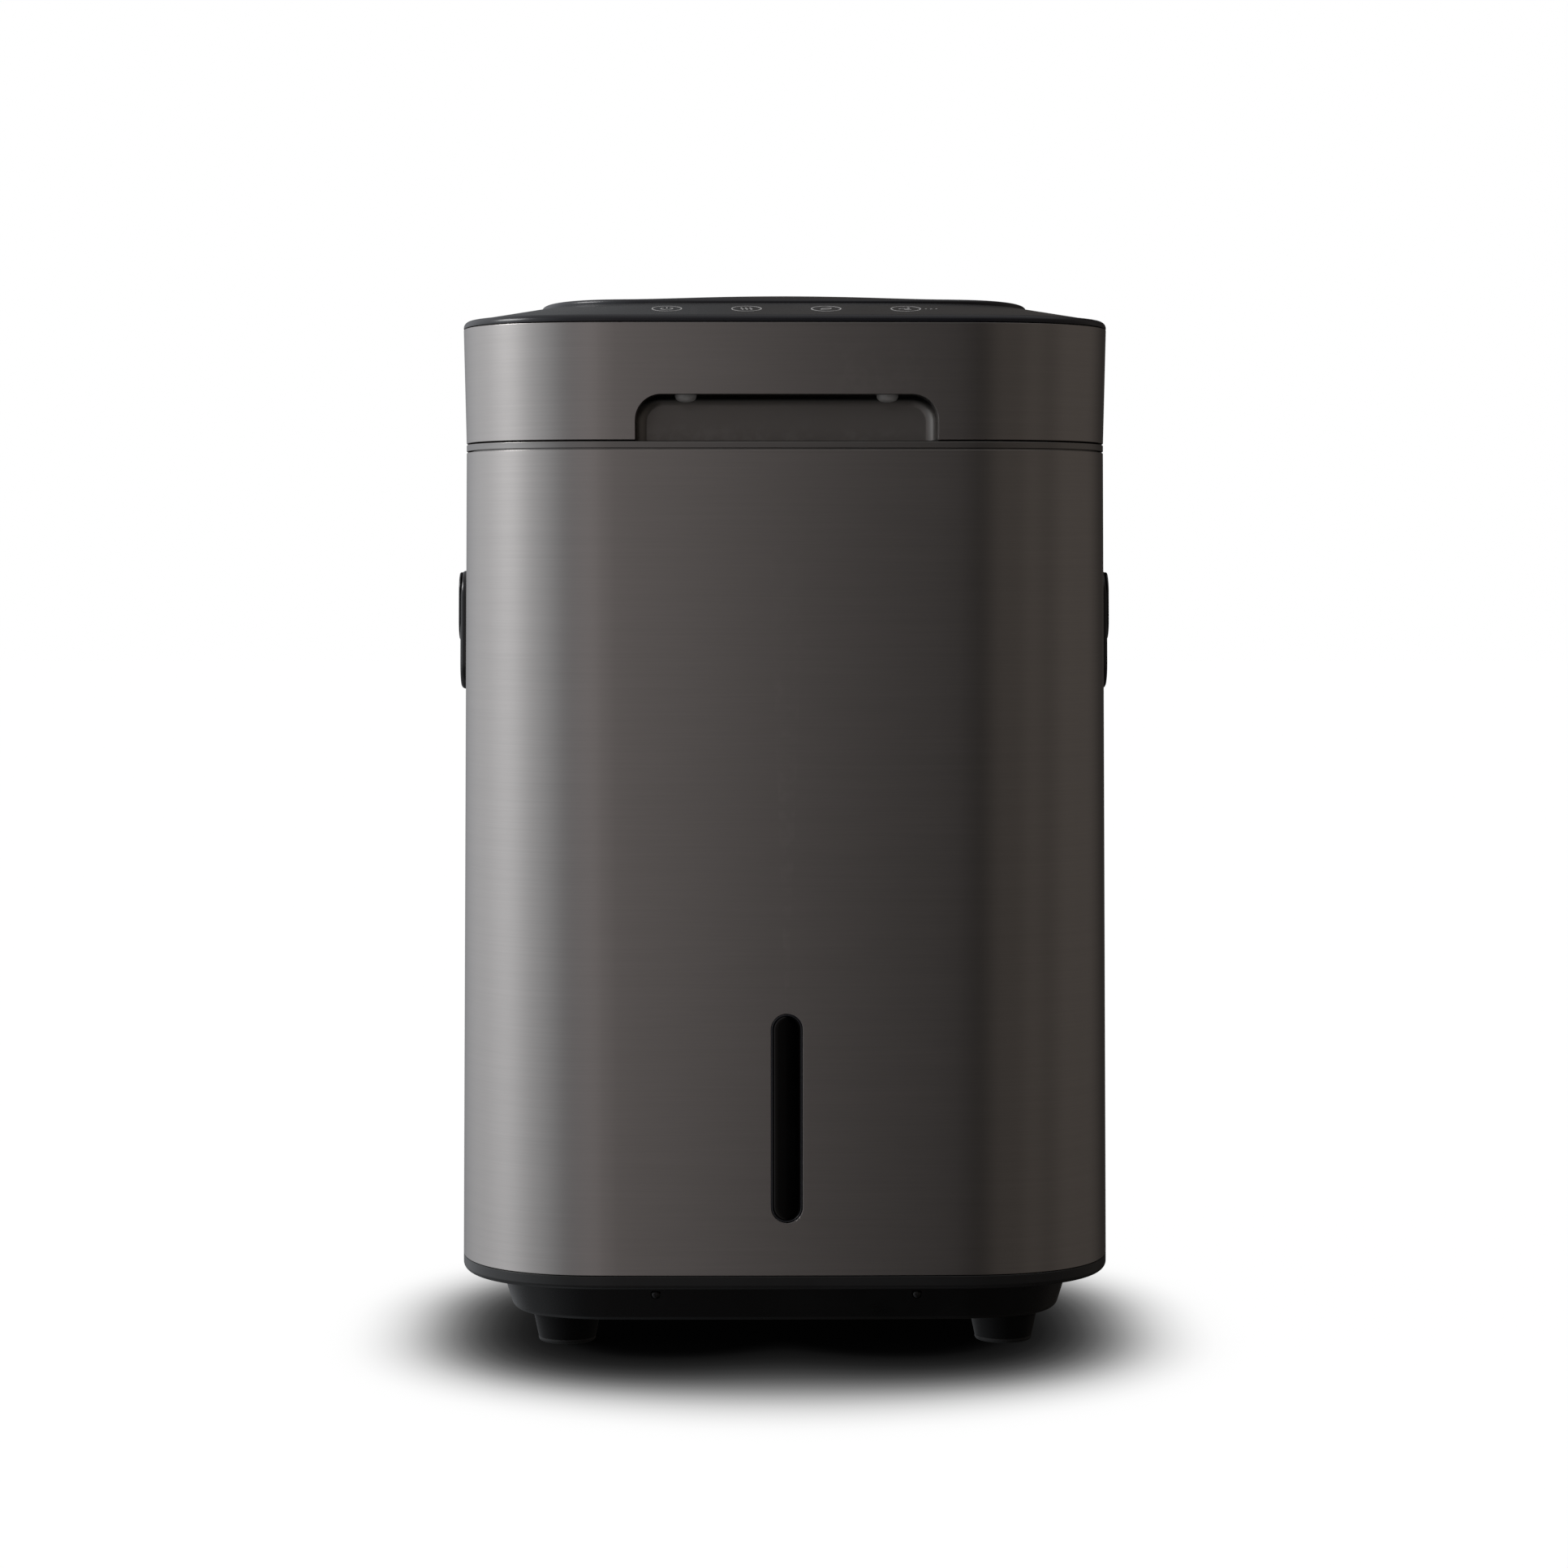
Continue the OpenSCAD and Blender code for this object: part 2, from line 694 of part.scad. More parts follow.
// Children drawn in the plane across X, from x0 to x1: X to the back, Y up
module across(x0, x1) {
    translate([x0, tank_y, z_axis]) rotate([90, 0, 90]) linear_extrude(x1 - x0) children();
}

module tank() {
    color(c_steel) difference() {
        union() {
            across(-tank_out, tank_out) trough(tank_t);
            translate([0, tank_y, z_tank_top - flange_t]) linear_extrude(flange_t)
                round_rect(2 * tank_out + 2 * flange_w, 2 * (tank_r + tank_t) + 2 * flange_w, mouth_r);
        }
        across(-tank_half, tank_half) trough(0);
        translate([0, tank_y, z_axis]) rod_x(bushing_r + run_gap, -tank_out - 1, tank_out + 1);
        for (i = [-5:5]) span([i * 9 - 2, tank_y + tank_r - 5, outlet_z - outlet_h / 2],
                              [i * 9 + 2, tank_y + tank_r + 5, outlet_z + outlet_h / 2]);
    }
}

module tank_seal() {
    color(c_silicone) translate([0, tank_y, z_tank_top]) linear_extrude(seal_t) difference() {
        round_rect(2 * tank_out + 2 * flange_w - 2, 2 * (tank_r + tank_t) + 2 * flange_w - 2, mouth_r);
        round_rect(2 * tank_out + 4, 2 * (tank_r + tank_t) + 4, mouth_r);
    }
}

module heater_pad() {
    pad_t2 = 2;
    half_angle = 50;
    side = 2 * tank_r * sin(half_angle);
    down_to = -2 * tank_r * cos(half_angle);
    color(c_copper) across(-tank_half + 25, tank_half - 25) intersection() {
        difference() {
            circle(tank_r + tank_t + pad_t2);
            circle(tank_r + tank_t);
        }
        polygon([[0, 0], [-side, down_to], [side, down_to]]);
    }
}

module side_plate(side) {
    x0 = side > 0 ? plate_x : -plate_x - plate_t;
    foot_x0 = side > 0 ? plate_x + plate_t - plate_foot : -plate_x - plate_t;
    ear_z = z_tank_top - flange_t - 8;
    plate_window_r = 14;                // windows that lighten the plate
    window_edge = 28;
    color(c_steel) difference() {
        union() {
            span([x0, tank_y - plate_half_y, z_floor], [x0 + plate_t, tank_y + plate_half_y, plate_top]);
            span([foot_x0, tank_y - plate_half_y, z_floor],
                 [foot_x0 + plate_foot, tank_y + plate_half_y, z_floor + plate_t]);
            for (s = [-1, 1]) translate([0, tank_y + s * (plate_half_y - 15), 0])
                span([x0, -12, plate_top - 1], [x0 + plate_t, 12, ear_z + 8]);
        }
        translate([0, tank_y, z_axis]) rod_x(bushing_r + run_gap, x0 - 1, x0 + plate_t + 1);
        if (side > 0) {
            translate([0, tank_y, z_idler]) rod_x(axle_r + run_gap, x0 - 1, x0 + plate_t + 1);
            translate([0, tank_y, z_motor]) rod_x(motor_shaft_r + 3, x0 - 1, x0 + plate_t + 1);
            for (sy = [-1, 1], sz = [-1, 1])
                translate([0, tank_y + sy * motor_screw_gap / 2, z_motor + sz * motor_screw_gap / 2])
                    rod_x(2.1, x0 - 1, x0 + plate_t + 1);
        }
        for (s = [-1, 1], z = [plate_top - window_edge, z_floor + window_edge + 32])
            translate([0, tank_y + s * (plate_half_y - window_edge), z])
                rod_x(plate_window_r, x0 - 1, x0 + plate_t + 1);
    }
}

module side_plate_left() side_plate(-1);
module side_plate_right() side_plate(1);

module shaft_bushings() {
    color(c_nylon) for (s = [0, 1]) mirror([s, 0, 0]) translate([0, tank_y, z_axis]) difference() {
        union() {
            rod_x(bushing_r, tank_half - eps, plate_x + plate_t + 1);
            rod_x(bushing_flange_r, tank_half - bushing_flange_t, tank_half);
        }
        rod_x(shaft_r + run_gap, tank_half - 10, plate_x + 10);
    }
}

module shaft_seals() {
    color(c_rubber) for (s = [0, 1]) mirror([s, 0, 0]) translate([0, tank_y, z_axis]) difference() {
        rod_x(shaft_r + 5, tank_half - bushing_flange_t - seal_ring_t, tank_half - bushing_flange_t);
        rod_x(shaft_r + run_gap, tank_half - 20, tank_half);
    }
}

module agitator_shaft() {
    color(c_steel) translate([0, tank_y, z_axis]) rod_x(shaft_r, -shaft_left, shaft_right);
}

module paddles() {
    hub_r = shaft_r + 5;
    hub_l = 18;
    reach = tank_r - paddle_gap;
    tip_h = 24;
    tip_w = 34;
    tip_t = 5;
    arm_w = 12;
    arm_t = 7;
    twist = 25;
    end_room = 35;                      // from the tank's end wall to the first paddle
    pitch = (tank_w - 2 * end_room) / max(paddle_count - 1, 1);
    first = -pitch * (paddle_count - 1) / 2;
    color(c_steel) for (i = [0:paddle_count - 1])
        translate([first + i * pitch, tank_y, z_axis]) rotate([45 + 90 * i, 0, 0]) difference() {
            union() {
                rod_x(hub_r, -hub_l / 2, hub_l / 2);
                translate([-arm_w / 2, -arm_t / 2, shaft_r + 2])
                    cube([arm_w, arm_t, reach - tip_h - shaft_r]);
                translate([0, 0, reach - tip_h - 2]) rotate([0, 0, i % 2 == 0 ? twist : -twist])
                    translate([-tip_w / 2, -tip_t / 2, 0]) cube([tip_w, tip_t, tip_h]);
            }
            rod_x(shaft_r + run_gap, -hub_l, hub_l);
        }
}

// ---------------------------------------------------------------- gears and motor

// Angle between the middle of a tooth and its flank at radius r
function flank_angle(teeth, r) =
    let (
        pitch_r = gear_m * teeth / 2,
        base_r = pitch_r * cos(pressure_angle),
        at = acos(base_r / max(r, base_r)),
        inv_pitch = tan(pressure_angle) * 180 / PI - pressure_angle,
        inv_here = tan(at) * 180 / PI - at
    )
    90 / teeth - backlash / 2 / pitch_r * 180 / PI + inv_pitch - inv_here;

// Outline of an involute spur gear
function gear_outline(teeth) =
    let (
        pitch_r = gear_m * teeth / 2,
        base_r = pitch_r * cos(pressure_angle),
        tip_r = pitch_r + gear_m,
        root_r = pitch_r - 1.25 * gear_m,
        steps = 4,
        start_r = max(base_r, root_r),
        flank = [for (i = [0:steps]) start_r + (tip_r - start_r) * i / steps],
        radii = concat(base_r > root_r ? [root_r] : [], flank),
        n = len(radii)
    )
    [
        for (t = [0:teeth - 1]) each concat(
            [for (i = [0:n - 1]) polar(radii[i], 360 * t / teeth - flank_angle(teeth, radii[i]))],
            [for (i = [n - 1:-1:0]) polar(radii[i], 360 * t / teeth + flank_angle(teeth, radii[i]))]
        )
    ];

function polar(r, a) = [r * cos(a), r * sin(a)];

// A gear whose axis lies along X at height z, with a tooth at the phase angle
module gear(teeth, phase, z, bore_r, hub_r, windows = 0) {
    pitch_r = gear_m * teeth / 2;
    hole_at = (hub_r + pitch_r - 4) / 2;
    hole_r = (pitch_r - 4 - hub_r) / 2 - 4;
    translate([gear_x, tank_y, z]) rotate([90, 0, 90]) difference() {
        rotate([0, 0, phase]) linear_extrude(gear_w) polygon(gear_outline(teeth));
        translate([0, 0, -1]) cylinder(r = bore_r, h = gear_w + 2);
        if (windows > 0) for (i = [0:windows - 1]) rotate([0, 0, 360 * (i + 0.5) / windows])
            translate([hole_at, 0, -1]) cylinder(r = hole_r, h = gear_w + 2);
    }
}

module driven_gear() {
    color(c_nylon) gear(driven_teeth, driven_phase, z_axis, shaft_r + run_gap, 16, windows = 6);
}

module idler_gear() {
    color(c_nylon) gear(idler_teeth, idler_phase, z_idler, axle_r + run_gap, 9);
}

module motor_pinion() {
    color(c_brass) gear(pinion_teeth, pinion_phase, z_motor, motor_shaft_r + run_gap, 9);
}

module shaft_clips() {
    color(c_steel) translate([0, tank_y, z_axis]) difference() {
        union() {
            rod_x(shaft_r + 3, gear_x + gear_w + 0.1, gear_x + gear_w + 0.1 + clip_t);
            rod_x(shaft_r + 3, -shaft_left + 1, -shaft_left + 1 + clip_t);
        }
        rod_x(shaft_r + run_gap, -shaft_left - 1, shaft_right + 1);
    }
}

module idler_axle() {
    color(c_steel) translate([0, tank_y, z_idler]) {
        rod_x(axle_r, plate_x, gear_x + gear_w + 0.4);
        rod_x(axle_r + 3, gear_x + gear_w + 0.3, gear_x + gear_w + 1.8);
    }
}

module gear_motor() {
    x1 = plate_x - fit_gap;
    color(c_plastic) translate([0, tank_y, z_motor]) difference() {
        union() {
            span([x1 - gearbox_l, -gearbox_side / 2, -gearbox_side / 2],
                 [x1, gearbox_side / 2, gearbox_side / 2]);
            rod_x(motor_r, x1 - gearbox_l - motor_l, x1 - gearbox_l + eps);
            rod_x(7, x1 - gearbox_l - motor_l - 4, x1 - gearbox_l - motor_l + eps);
        }
        rod_x(motor_shaft_r + run_gap, x1 - 20, x1 + 1);
        for (sy = [-1, 1], sz = [-1, 1]) translate([0, sy * motor_screw_gap / 2, sz * motor_screw_gap / 2])
            rod_x(2.05, x1 - 10, x1 + 1);
    }
}

module motor_shaft() {
    color(c_steel) translate([0, tank_y, z_motor])
        rod_x(motor_shaft_r, plate_x - fit_gap - 19, gear_x + gear_w + 1);
}

module motor_screws() {
    out = plate_x + plate_t;
    color(c_steel) for (sy = [-1, 1], sz = [-1, 1])
        translate([0, tank_y + sy * motor_screw_gap / 2, z_motor + sz * motor_screw_gap / 2]) {
            rod_x(2, plate_x - 9, out + eps);
            rod_x(3.4, out, out + 1.8);
        }
}

// ---------------------------------------------------------------- air path and filter

module filter_housing() {
    outlet_w = fan_side - 8;
    color(c_plastic) difference() {
        span([-bay_w / 2 - bay_wall, bay_front, z_bay - bay_h / 2 - bay_wall],
             [bay_w / 2 + bay_wall, bay_back, z_bay + bay_h / 2 + bay_wall]);
        span([-bay_w / 2, bay_front + bay_wall, z_bay - bay_h / 2],
             [bay_w / 2, bay_back + 1, z_bay + bay_h / 2]);
        span([-48, bay_front - 1, outlet_z - outlet_h / 2], [48, bay_front + 5, outlet_z + outlet_h / 2]);
        span([-outlet_w / 2, bay_front + duct_wall + 2, z_bay - bay_h / 2 - bay_wall - 1],
             [outlet_w / 2, fan_y - 4, z_bay - bay_h / 2 + 1]);
    }
}

module filter_drawer() {
    wall = 2;
    face_y = panel_y + 0.4 + 0.3;
    color(c_trim) difference() {
        union() {
            span([-drawer_w / 2, drawer_front_y, z_bay - drawer_h / 2],
                 [drawer_w / 2, face_y + eps, z_bay + drawer_h / 2]);
            translate([0, face_y, z_bay]) rotate([-90, 0, 0]) linear_extrude(drawer_face_t)
                round_rect(bay_w + 2 * drawer_face_lap - 1.2, bay_h + 2 * drawer_face_lap - 1.2, 5.4);
        }
        span([-drawer_w / 2 + wall, drawer_front_y + wall, z_bay - drawer_h / 2 + wall],
             [drawer_w / 2 - wall, face_y - wall, z_bay + drawer_h / 2 + 1]);
        for (i = [-4:4]) span([i * 15 - 5, drawer_front_y + 12, z_bay - drawer_h / 2 - 1],
                              [i * 15 + 5, face_y - 12, z_bay - drawer_h / 2 + 5]);
        for (i = [-4:4]) span([i * 15 - 5, drawer_front_y - 1, air_low],
                              [i * 15 + 5, drawer_front_y + 5, air_high]);
        // finger pull in the face
        translate([0, face_y + drawer_face_t + 8, z_bay + 14]) rotate([0, 90, 0])
            cylinder(r = 10, h = 60, center = true);
    }
}

module carbon_block() {
    wall = 2.4;
    color(c_carbon) span([-drawer_w / 2 + wall, drawer_front_y + wall, z_bay - drawer_h / 2 + wall],
                         [drawer_w / 2 - wall, panel_y - 3, z_bay + drawer_h / 2 - 3]);
}

module filter_seal() {
    lap = 1;                            // from the air slots to the seal
    lip = 3;                            // width of the seal
    edge = drawer_w / 2 - 4;
    color(c_silicone) difference() {
        span([-edge, bay_front + bay_wall + 0.5, air_low - lap - lip],
             [edge, drawer_front_y, air_high + lap + lip]);
        span([-edge + lip + 2, bay_front, air_low - lap],
             [edge - lip - 2, drawer_front_y + 1, air_high + lap]);
    }
}

duct_wall = 2;

module fan_duct() {
    wall = duct_wall;
    w = fan_side;
    top = z_bay - bay_h / 2 - bay_wall - fit_gap;
    low = fan_z - fan_side / 2;
    y0 = bay_front;
    color(c_plastic) difference() {
        span([-w / 2, y0, low], [w / 2, fan_y - 0.2, top]);
        span([-w / 2 + wall, y0 + wall, fan_z], [w / 2 - wall, fan_y - 3, top + 1]);
        translate([0, y0 + wall, fan_z]) rotate([-90, 0, 0]) cylinder(r = fan_bore_r, h = 40);
    }
}

module fan_frame() {
    color(c_trim) translate([0, fan_y, fan_z]) rotate([-90, 0, 0]) difference() {
        translate([-fan_side / 2, -fan_side / 2, 0]) cube([fan_side, fan_side, fan_d]);
        translate([0, 0, 3]) cylinder(r = fan_bore_r, h = fan_d);
        difference() {
            translate([0, 0, -1]) cylinder(r = fan_bore_r, h = 5);
            translate([0, 0, -1]) cylinder(r = fan_hub_r, h = 5);
            for (a = [45, 135]) rotate([0, 0, a]) translate([-fan_side, -2, -1]) cube([2 * fan_side, 4, 5]);
        }
        translate([0, 0, -1]) cylinder(r = 1.5 + run_gap, h = 10);
        for (sx = [-1, 1], sy = [-1, 1]) translate([sx * (fan_side / 2 - 4), sy * (fan_side / 2 - 4), -1])
            cylinder(r = 1.8, h = fan_d + 2);
    }
}

module fan_rotor() {
    hub_h = fan_d - 7;
    blade_l = fan_bore_r - fan_hub_r - 1.2;
    color(c_plastic) translate([0, fan_y, fan_z]) rotate([-90, 0, 0]) {
        cylinder(r = 1.5, h = 5);
        translate([0, 0, 4]) cylinder(r = fan_hub_r, h = hub_h);
        for (i = [0:fan_blades - 1]) rotate([0, 0, 360 * i / fan_blades])
            translate([fan_hub_r - 1, 0, 4 + hub_h / 2]) rotate([50, 0, 0])
                translate([0, -0.8, -hub_h / 2]) cube([blade_l + 1, 1.6, hub_h]);
    }
}

// ---------------------------------------------------------------- electronics in the base

board_w = 110;
board_d = 130;
board_z = z_floor + 12;
board_gap = 1.5;                    // between the board and the left plate's foot
board_x = -plate_x - plate_t + plate_foot + board_gap + board_w / 2;
board_y = tank_y;

module at_board_corners() {
    for (sx = [-1, 1], sy = [-1, 1])
        translate([board_x + sx * (board_w / 2 - 6), board_y + sy * (board_d / 2 - 6), 0]) children();
}

module main_board() {
    color(c_board) difference() {
        span([board_x - board_w / 2, board_y - board_d / 2, board_z],
             [board_x + board_w / 2, board_y + board_d / 2, board_z + 1.6]);
        at_board_corners() translate([0, 0, board_z - 1]) cylinder(r = 1.7, h = 4);
    }
}

module board_standoffs() {
    color(c_brass) at_board_corners() {
        translate([0, 0, z_floor]) cylinder(r = 3.5, h = board_z - z_floor, $fn = 6);
        translate([0, 0, board_z - eps]) cylinder(r = 1.5, h = 1.8);
        translate([0, 0, board_z + 1.6]) cylinder(r = 2.8, h = 1.6);
    }
}

module board_parts() {
    top = board_z + 1.6;
    color(c_trim) {
        for (i = [0:3]) translate([board_x - 36 + i * 16, board_y - 44, top]) cylinder(r = 5, h = 20);
        for (i = [0:2])
            translate([board_x - 40 + i * 24, board_y - 20, top]) cube([18, 15, 15]);
        translate([board_x - 10, board_y + 8, top]) cube([18, 18, 2]);
        for (i = [0:4])
            translate([board_x - 44 + i * 18, board_y + 46, top]) cube([13, 8, 9]);
    }
}

module power_supply() {
    size = [92, 60, 38];
    side_gap = 37;                      // to the pan's right wall
    back_gap = 34.5;                    // to the pan's back wall
    margin = 8;                         // from its edge to its air slots
    slot = 5;
    slot_pitch = 11;
    hi = [pan_in_x - side_gap, pan_in_y - back_gap, z_floor + size[2]];
    lo = hi - size;
    slots = floor((size[0] - 2 * margin) / slot_pitch);
    color(c_steel) difference() {
        span(lo, hi);
        for (i = [0:slots - 1]) span([lo[0] + margin + 3 + i * slot_pitch, lo[1] + margin, hi[2] - 2],
                                     [lo[0] + margin + 3 + slot + i * slot_pitch, hi[1] - margin, hi[2] + 1]);
    }
}

// ---------------------------------------------------------------- hinge

module hinge_housing() {
    color(c_trim) translate([0, hinge_y, hinge_z]) difference() {
        union() {
            rod_x(hinge_r, -barrel_l / 2, barrel_l / 2);
            span([-barrel_l / 2, -hinge_r, z_rim_top - hinge_z], [barrel_l / 2, hinge_in - 0.5, 0]);
        }
        rod_x(hinge_r - 1.5, -barrel_l / 2 + 5, barrel_l / 2 - 5);
        rod_x(hinge_pin_r + run_gap, -barrel_l, barrel_l);
    }
}

module lid_motor() {
    color(c_steel) translate([0, hinge_y, hinge_z])
        rod_x(hinge_r - 1.8, -barrel_l / 2 + 18, barrel_l / 2 - 20);
}

module hinge_shafts() {
    color(c_steel) translate([0, hinge_y, hinge_z]) {
        rod_x(hinge_pin_r, barrel_l / 2 - 19.5, pin_out);
        rod_x(hinge_pin_r, -pin_out, -barrel_l / 2 + 17.5);
    }
}

module lid_hinge_arms() {
    web_in = body_d / 2 - lid_lean(z_lid) - shell_wall - fit_gap;
    web_t = 7;
    web_top = hinge_z + 34;
    color(c_trim) turned() for (s = [0, 1]) mirror([s, 0, 0]) difference() {
        union() {
            translate([0, hinge_y, hinge_z]) rod_x(hinge_r, barrel_l / 2 + 1, pin_out);
            span([barrel_l / 2 + 1, web_in - web_t, hinge_z - 1], [pin_out, web_in, web_top]);
        }
        translate([0, hinge_y, hinge_z]) rod_x(hinge_pin_r + run_gap, barrel_l / 2, pin_out + 1);
    }
}

// Turns children about the hinge by the opening angle
module turned() {
    translate([0, hinge_y, hinge_z]) rotate([-lid_open, 0, 0]) translate([0, -hinge_y, -hinge_z]) children();
}

// ---------------------------------------------------------------- lid

module lid_shell() {
    top = z_lid + lid_h;
    notch_half = pin_out + 1;
    color(c_shell) turned() difference() {
        skin([
            loop(lid_lean(z_lid), z_lid), loop(lid_lean(top), top),
            loop(lid_lean(top) + shell_wall, top), loop(lid_lean(z_lid) + shell_wall, z_lid)
        ], around = true);
        translate([0, -body_d / 2 + 30, z_lid - eps]) rotate([90, 0, 0])
            linear_extrude(40) arch(grip_w, grip_h, grip_r);
        span([-notch_half, hinge_y - 20, z_lid - 1], [notch_half, hinge_y + 20, hinge_z + hinge_r + 1.5]);
        // bevel that lets the back edge turn past the rim
        translate([0, body_d / 2 - lid_lean(z_lid) - 2.4, z_lid - eps]) rotate([90, 0, 90])
            linear_extrude(body_w, center = true) polygon([[0, 0], [5, 0], [5, 5]]);
    }
}

module lid_band() {
    edge = lid_lean(z_lid + lid_h);
    round_r = band_h - 0.6;
    ledge_z = z_band + 1.2;
    color(c_gloss) turned() skin([
        loop(edge, z_band),
        for (a = [0:22.5:90]) loop(edge + round_r * (1 - cos(a)), z_band + 0.6 + round_r * sin(a)),
        loop(edge + round_r + 1, z_deck),
        loop(edge + round_r + 1, ledge_z),
        loop(edge + round_r + 8, ledge_z),
        loop(edge + round_r + 8, z_band)
    ], around = true);
}

deck_out = lid_lean(z_lid + lid_h) + band_h - 0.6 + 1.2;   // where the sloping panel starts
deck_slope = deck_rise / (deck_run - deck_out);

module lid_deck() {
    color(c_deck) turned() skin([
        loop(deck_out, z_deck - deck_t + 0.1),
        loop(deck_out, z_deck),
        cover_loop(0, z_dome),
        cover_loop(0, z_dome - deck_t)
    ], around = true);
}

// Height of the raised cover over a point of the plan
function dome_z(x, y) =
    let (hx = body_w / 2 - deck_run, hy = body_d / 2 - deck_run)
    z_dome + dome_edge + dome_crown * (1 - pow(x / hx, 2)) * (1 - pow(y / hy, 2));

// A loop of the raised cover's top, let down by drop
function dome_loop(inset, drop) = [for (p = cover_loop(inset, 0)) [p[0], p[1], dome_z(p[0], p[1]) - drop]];

// The raised cover's top from the given inset inwards, let down by drop
function dome_top(insets, drop) = [for (i = insets) dome_loop(i, drop)];

module lid_dome() {
    side = 0.5;                       // gap between the cover and the sloping panel
    edge_r = 1.6;
    hook = 3.5;                       // how far the cover's rim hooks under the sloping panel
    foot = z_dome - deck_t - fit_gap - (hook + 1) * deck_slope;
    color(c_gloss) turned() difference() {
        skin(concat(
            [cover_loop(-hook, foot - 2.5), cover_loop(-hook, foot), cover_loop(side, foot)],
            [for (a = [0:30:90]) dome_loop(side + edge_r * (1 - cos(a)), edge_r * (1 - sin(a)))],
            dome_top([9, 20, 34, 52, 74, 98], 0)
        ), apex = [0, 0, dome_z(0, 0)]);
        skin(concat(
            [cover_loop(side + dome_t, foot - 3.5)],
            dome_top([side + dome_t, 9, 20, 34, 52, 74, 98], dome_t)
        ), apex = [0, 0, dome_z(0, 0) - dome_t]);
    }
}

module grip_cup() {
    cup_wall = 2;
    front = -body_d / 2 + lid_lean(z_lid) + shell_wall + 0.9;
    back = -body_d / 2 + lid_lean(z_lid) + grip_depth;
    color(c_plastic) turned() difference() {
        translate([0, back + cup_wall, z_lid]) rotate([90, 0, 0]) linear_extrude(back + cup_wall - front)
            arch(grip_w + 2 * cup_wall, grip_h + cup_wall, grip_r + cup_wall);
        translate([0, back, z_lid - eps]) rotate([90, 0, 0]) linear_extrude(60) arch(grip_w, grip_h, grip_r);
        for (s = [-1, 1]) plug_place(s) cylinder(r = 1.7, h = 20, center = true);
    }
}

module plug_place(s) {
    plug_y = -body_d / 2 + lid_lean(z_lid) + shell_wall + plug_r + 1.2;
    translate([s * plug_gap / 2, plug_y, z_lid + grip_h]) children();
}

module grip_plugs() {
    color(c_plug) turned() for (s = [-1, 1]) plug_place(s) {
        translate([0, 0, -plug_h + 0.8]) cylinder(r = plug_r, h = plug_h - 0.9);
        translate([0, 0, -plug_h]) cylinder(r1 = plug_r - 0.8, r2 = plug_r, h = 0.8 + eps);
        translate([0, 0, -0.1 - eps]) cylinder(r = 1.6, h = 3);
    }
}

liner_z = z_lid + 2.6;              // underside of the liner's plate
liner_t = 2.5;

module lid_liner() {
    plug_w = tank_w - 8;
    plug_d = 2 * tank_r - 8;
    plug_deep = 8;
    color(c_plastic) turned() difference() {
        union() {
            skin([loop(lid_lean(liner_z) + shell_wall + fit_gap, liner_z),
                  loop(lid_lean(liner_z) + shell_wall + fit_gap, liner_z + liner_t)]);
            translate([0, tank_y, liner_z - plug_deep]) linear_extrude(plug_deep + eps)
                round_rect(plug_w, plug_d, mouth_r - 4);
        }
        translate([0, tank_y, liner_z - plug_deep + 2.5]) linear_extrude(plug_deep + 5)
            round_rect(plug_w - 5, plug_d - 5, mouth_r - 6);
        span([-pin_out - 2, hinge_y - hinge_r - 3, z_lid - 20], [pin_out + 2, body_d, z_lid + 40]);
        span([-grip_w / 2 - 3, -body_d, z_lid - 20],
             [grip_w / 2 + 3, -body_d / 2 + lid_lean(z_lid) + grip_depth + 2.5, z_lid + 40]);
    }
}

module lid_gasket() {
    gasket_w = 5;
    gap = 0.3;
    color(c_silicone) turned() translate([0, tank_y, z_rim_top + gap])
        linear_extrude(liner_z - z_rim_top - gap) difference() {
            round_rect(tank_w + 20, 2 * tank_r + 20, mouth_r + 8);
            round_rect(tank_w + 20 - 2 * gasket_w, 2 * tank_r + 20 - 2 * gasket_w, mouth_r + 8 - gasket_w);
        }
}

module control_board() {
    board_l = 150;
    board_run = 18;
    board_t = 1.6;
    key_gap = 39.7;                     // spacing of the touch keys
    key_pad = 0.5;                      // height of a key's foam pad
    under = 0.9;                        // between the panel and the pads
    slope = atan(deck_slope);
    start = 9;                          // from the panel's front edge to the board
    low = z_deck - deck_t + deck_slope * start - under - key_pad - board_t;
    color(c_board) turned()
        translate([0, -body_d / 2 + deck_out + start, low]) rotate([slope, 0, 0]) {
            translate([-board_l / 2, 0, 0]) cube([board_l, board_run, board_t]);
            for (i = [0:3]) translate([(i - 1.5) * key_gap, board_run / 2, board_t - eps])
                cylinder(r = 6, h = key_pad + eps);
        }
}

// ---------------------------------------------------------------- drawing

body_shell();
base_ring();
base_pan();
feet();
foot_pads();
pan_screws();
rim_frame();
window_bezel();
sensor_window();
sensor_board();
handle_frame_left();
handle_frame_right();
handle_grip_left();
handle_grip_right();
back_panel();
panel_screws();
power_inlet();
inlet_pins();
tank();
tank_seal();
heater_pad();
side_plate_left();
side_plate_right();
shaft_bushings();
shaft_seals();
agitator_shaft();
paddles();
driven_gear();
shaft_clips();
idler_axle();
idler_gear();
gear_motor();
motor_screws();
motor_shaft();
motor_pinion();
fan_frame();
fan_rotor();
fan_duct();
filter_housing();
filter_drawer();
carbon_block();
filter_seal();
main_board();
board_parts();
board_standoffs();
power_supply();
hinge_housing();
lid_motor();
hinge_shafts();
lid_hinge_arms();
lid_shell();
lid_band();
lid_deck();
lid_dome();
grip_cup();
grip_plugs();
lid_liner();
lid_gasket();
control_board();
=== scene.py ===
"""Looks of an electric food waste composter, built around its packed construction in one shared frame."""

import logging
from dataclasses import dataclass, replace
from enum import Enum
from functools import cache
from math import atan, atan2, ceil, cos, dist, hypot, pi, radians, sin, tan, tau
from typing import Callable, Iterable, Optional, Sequence, Union

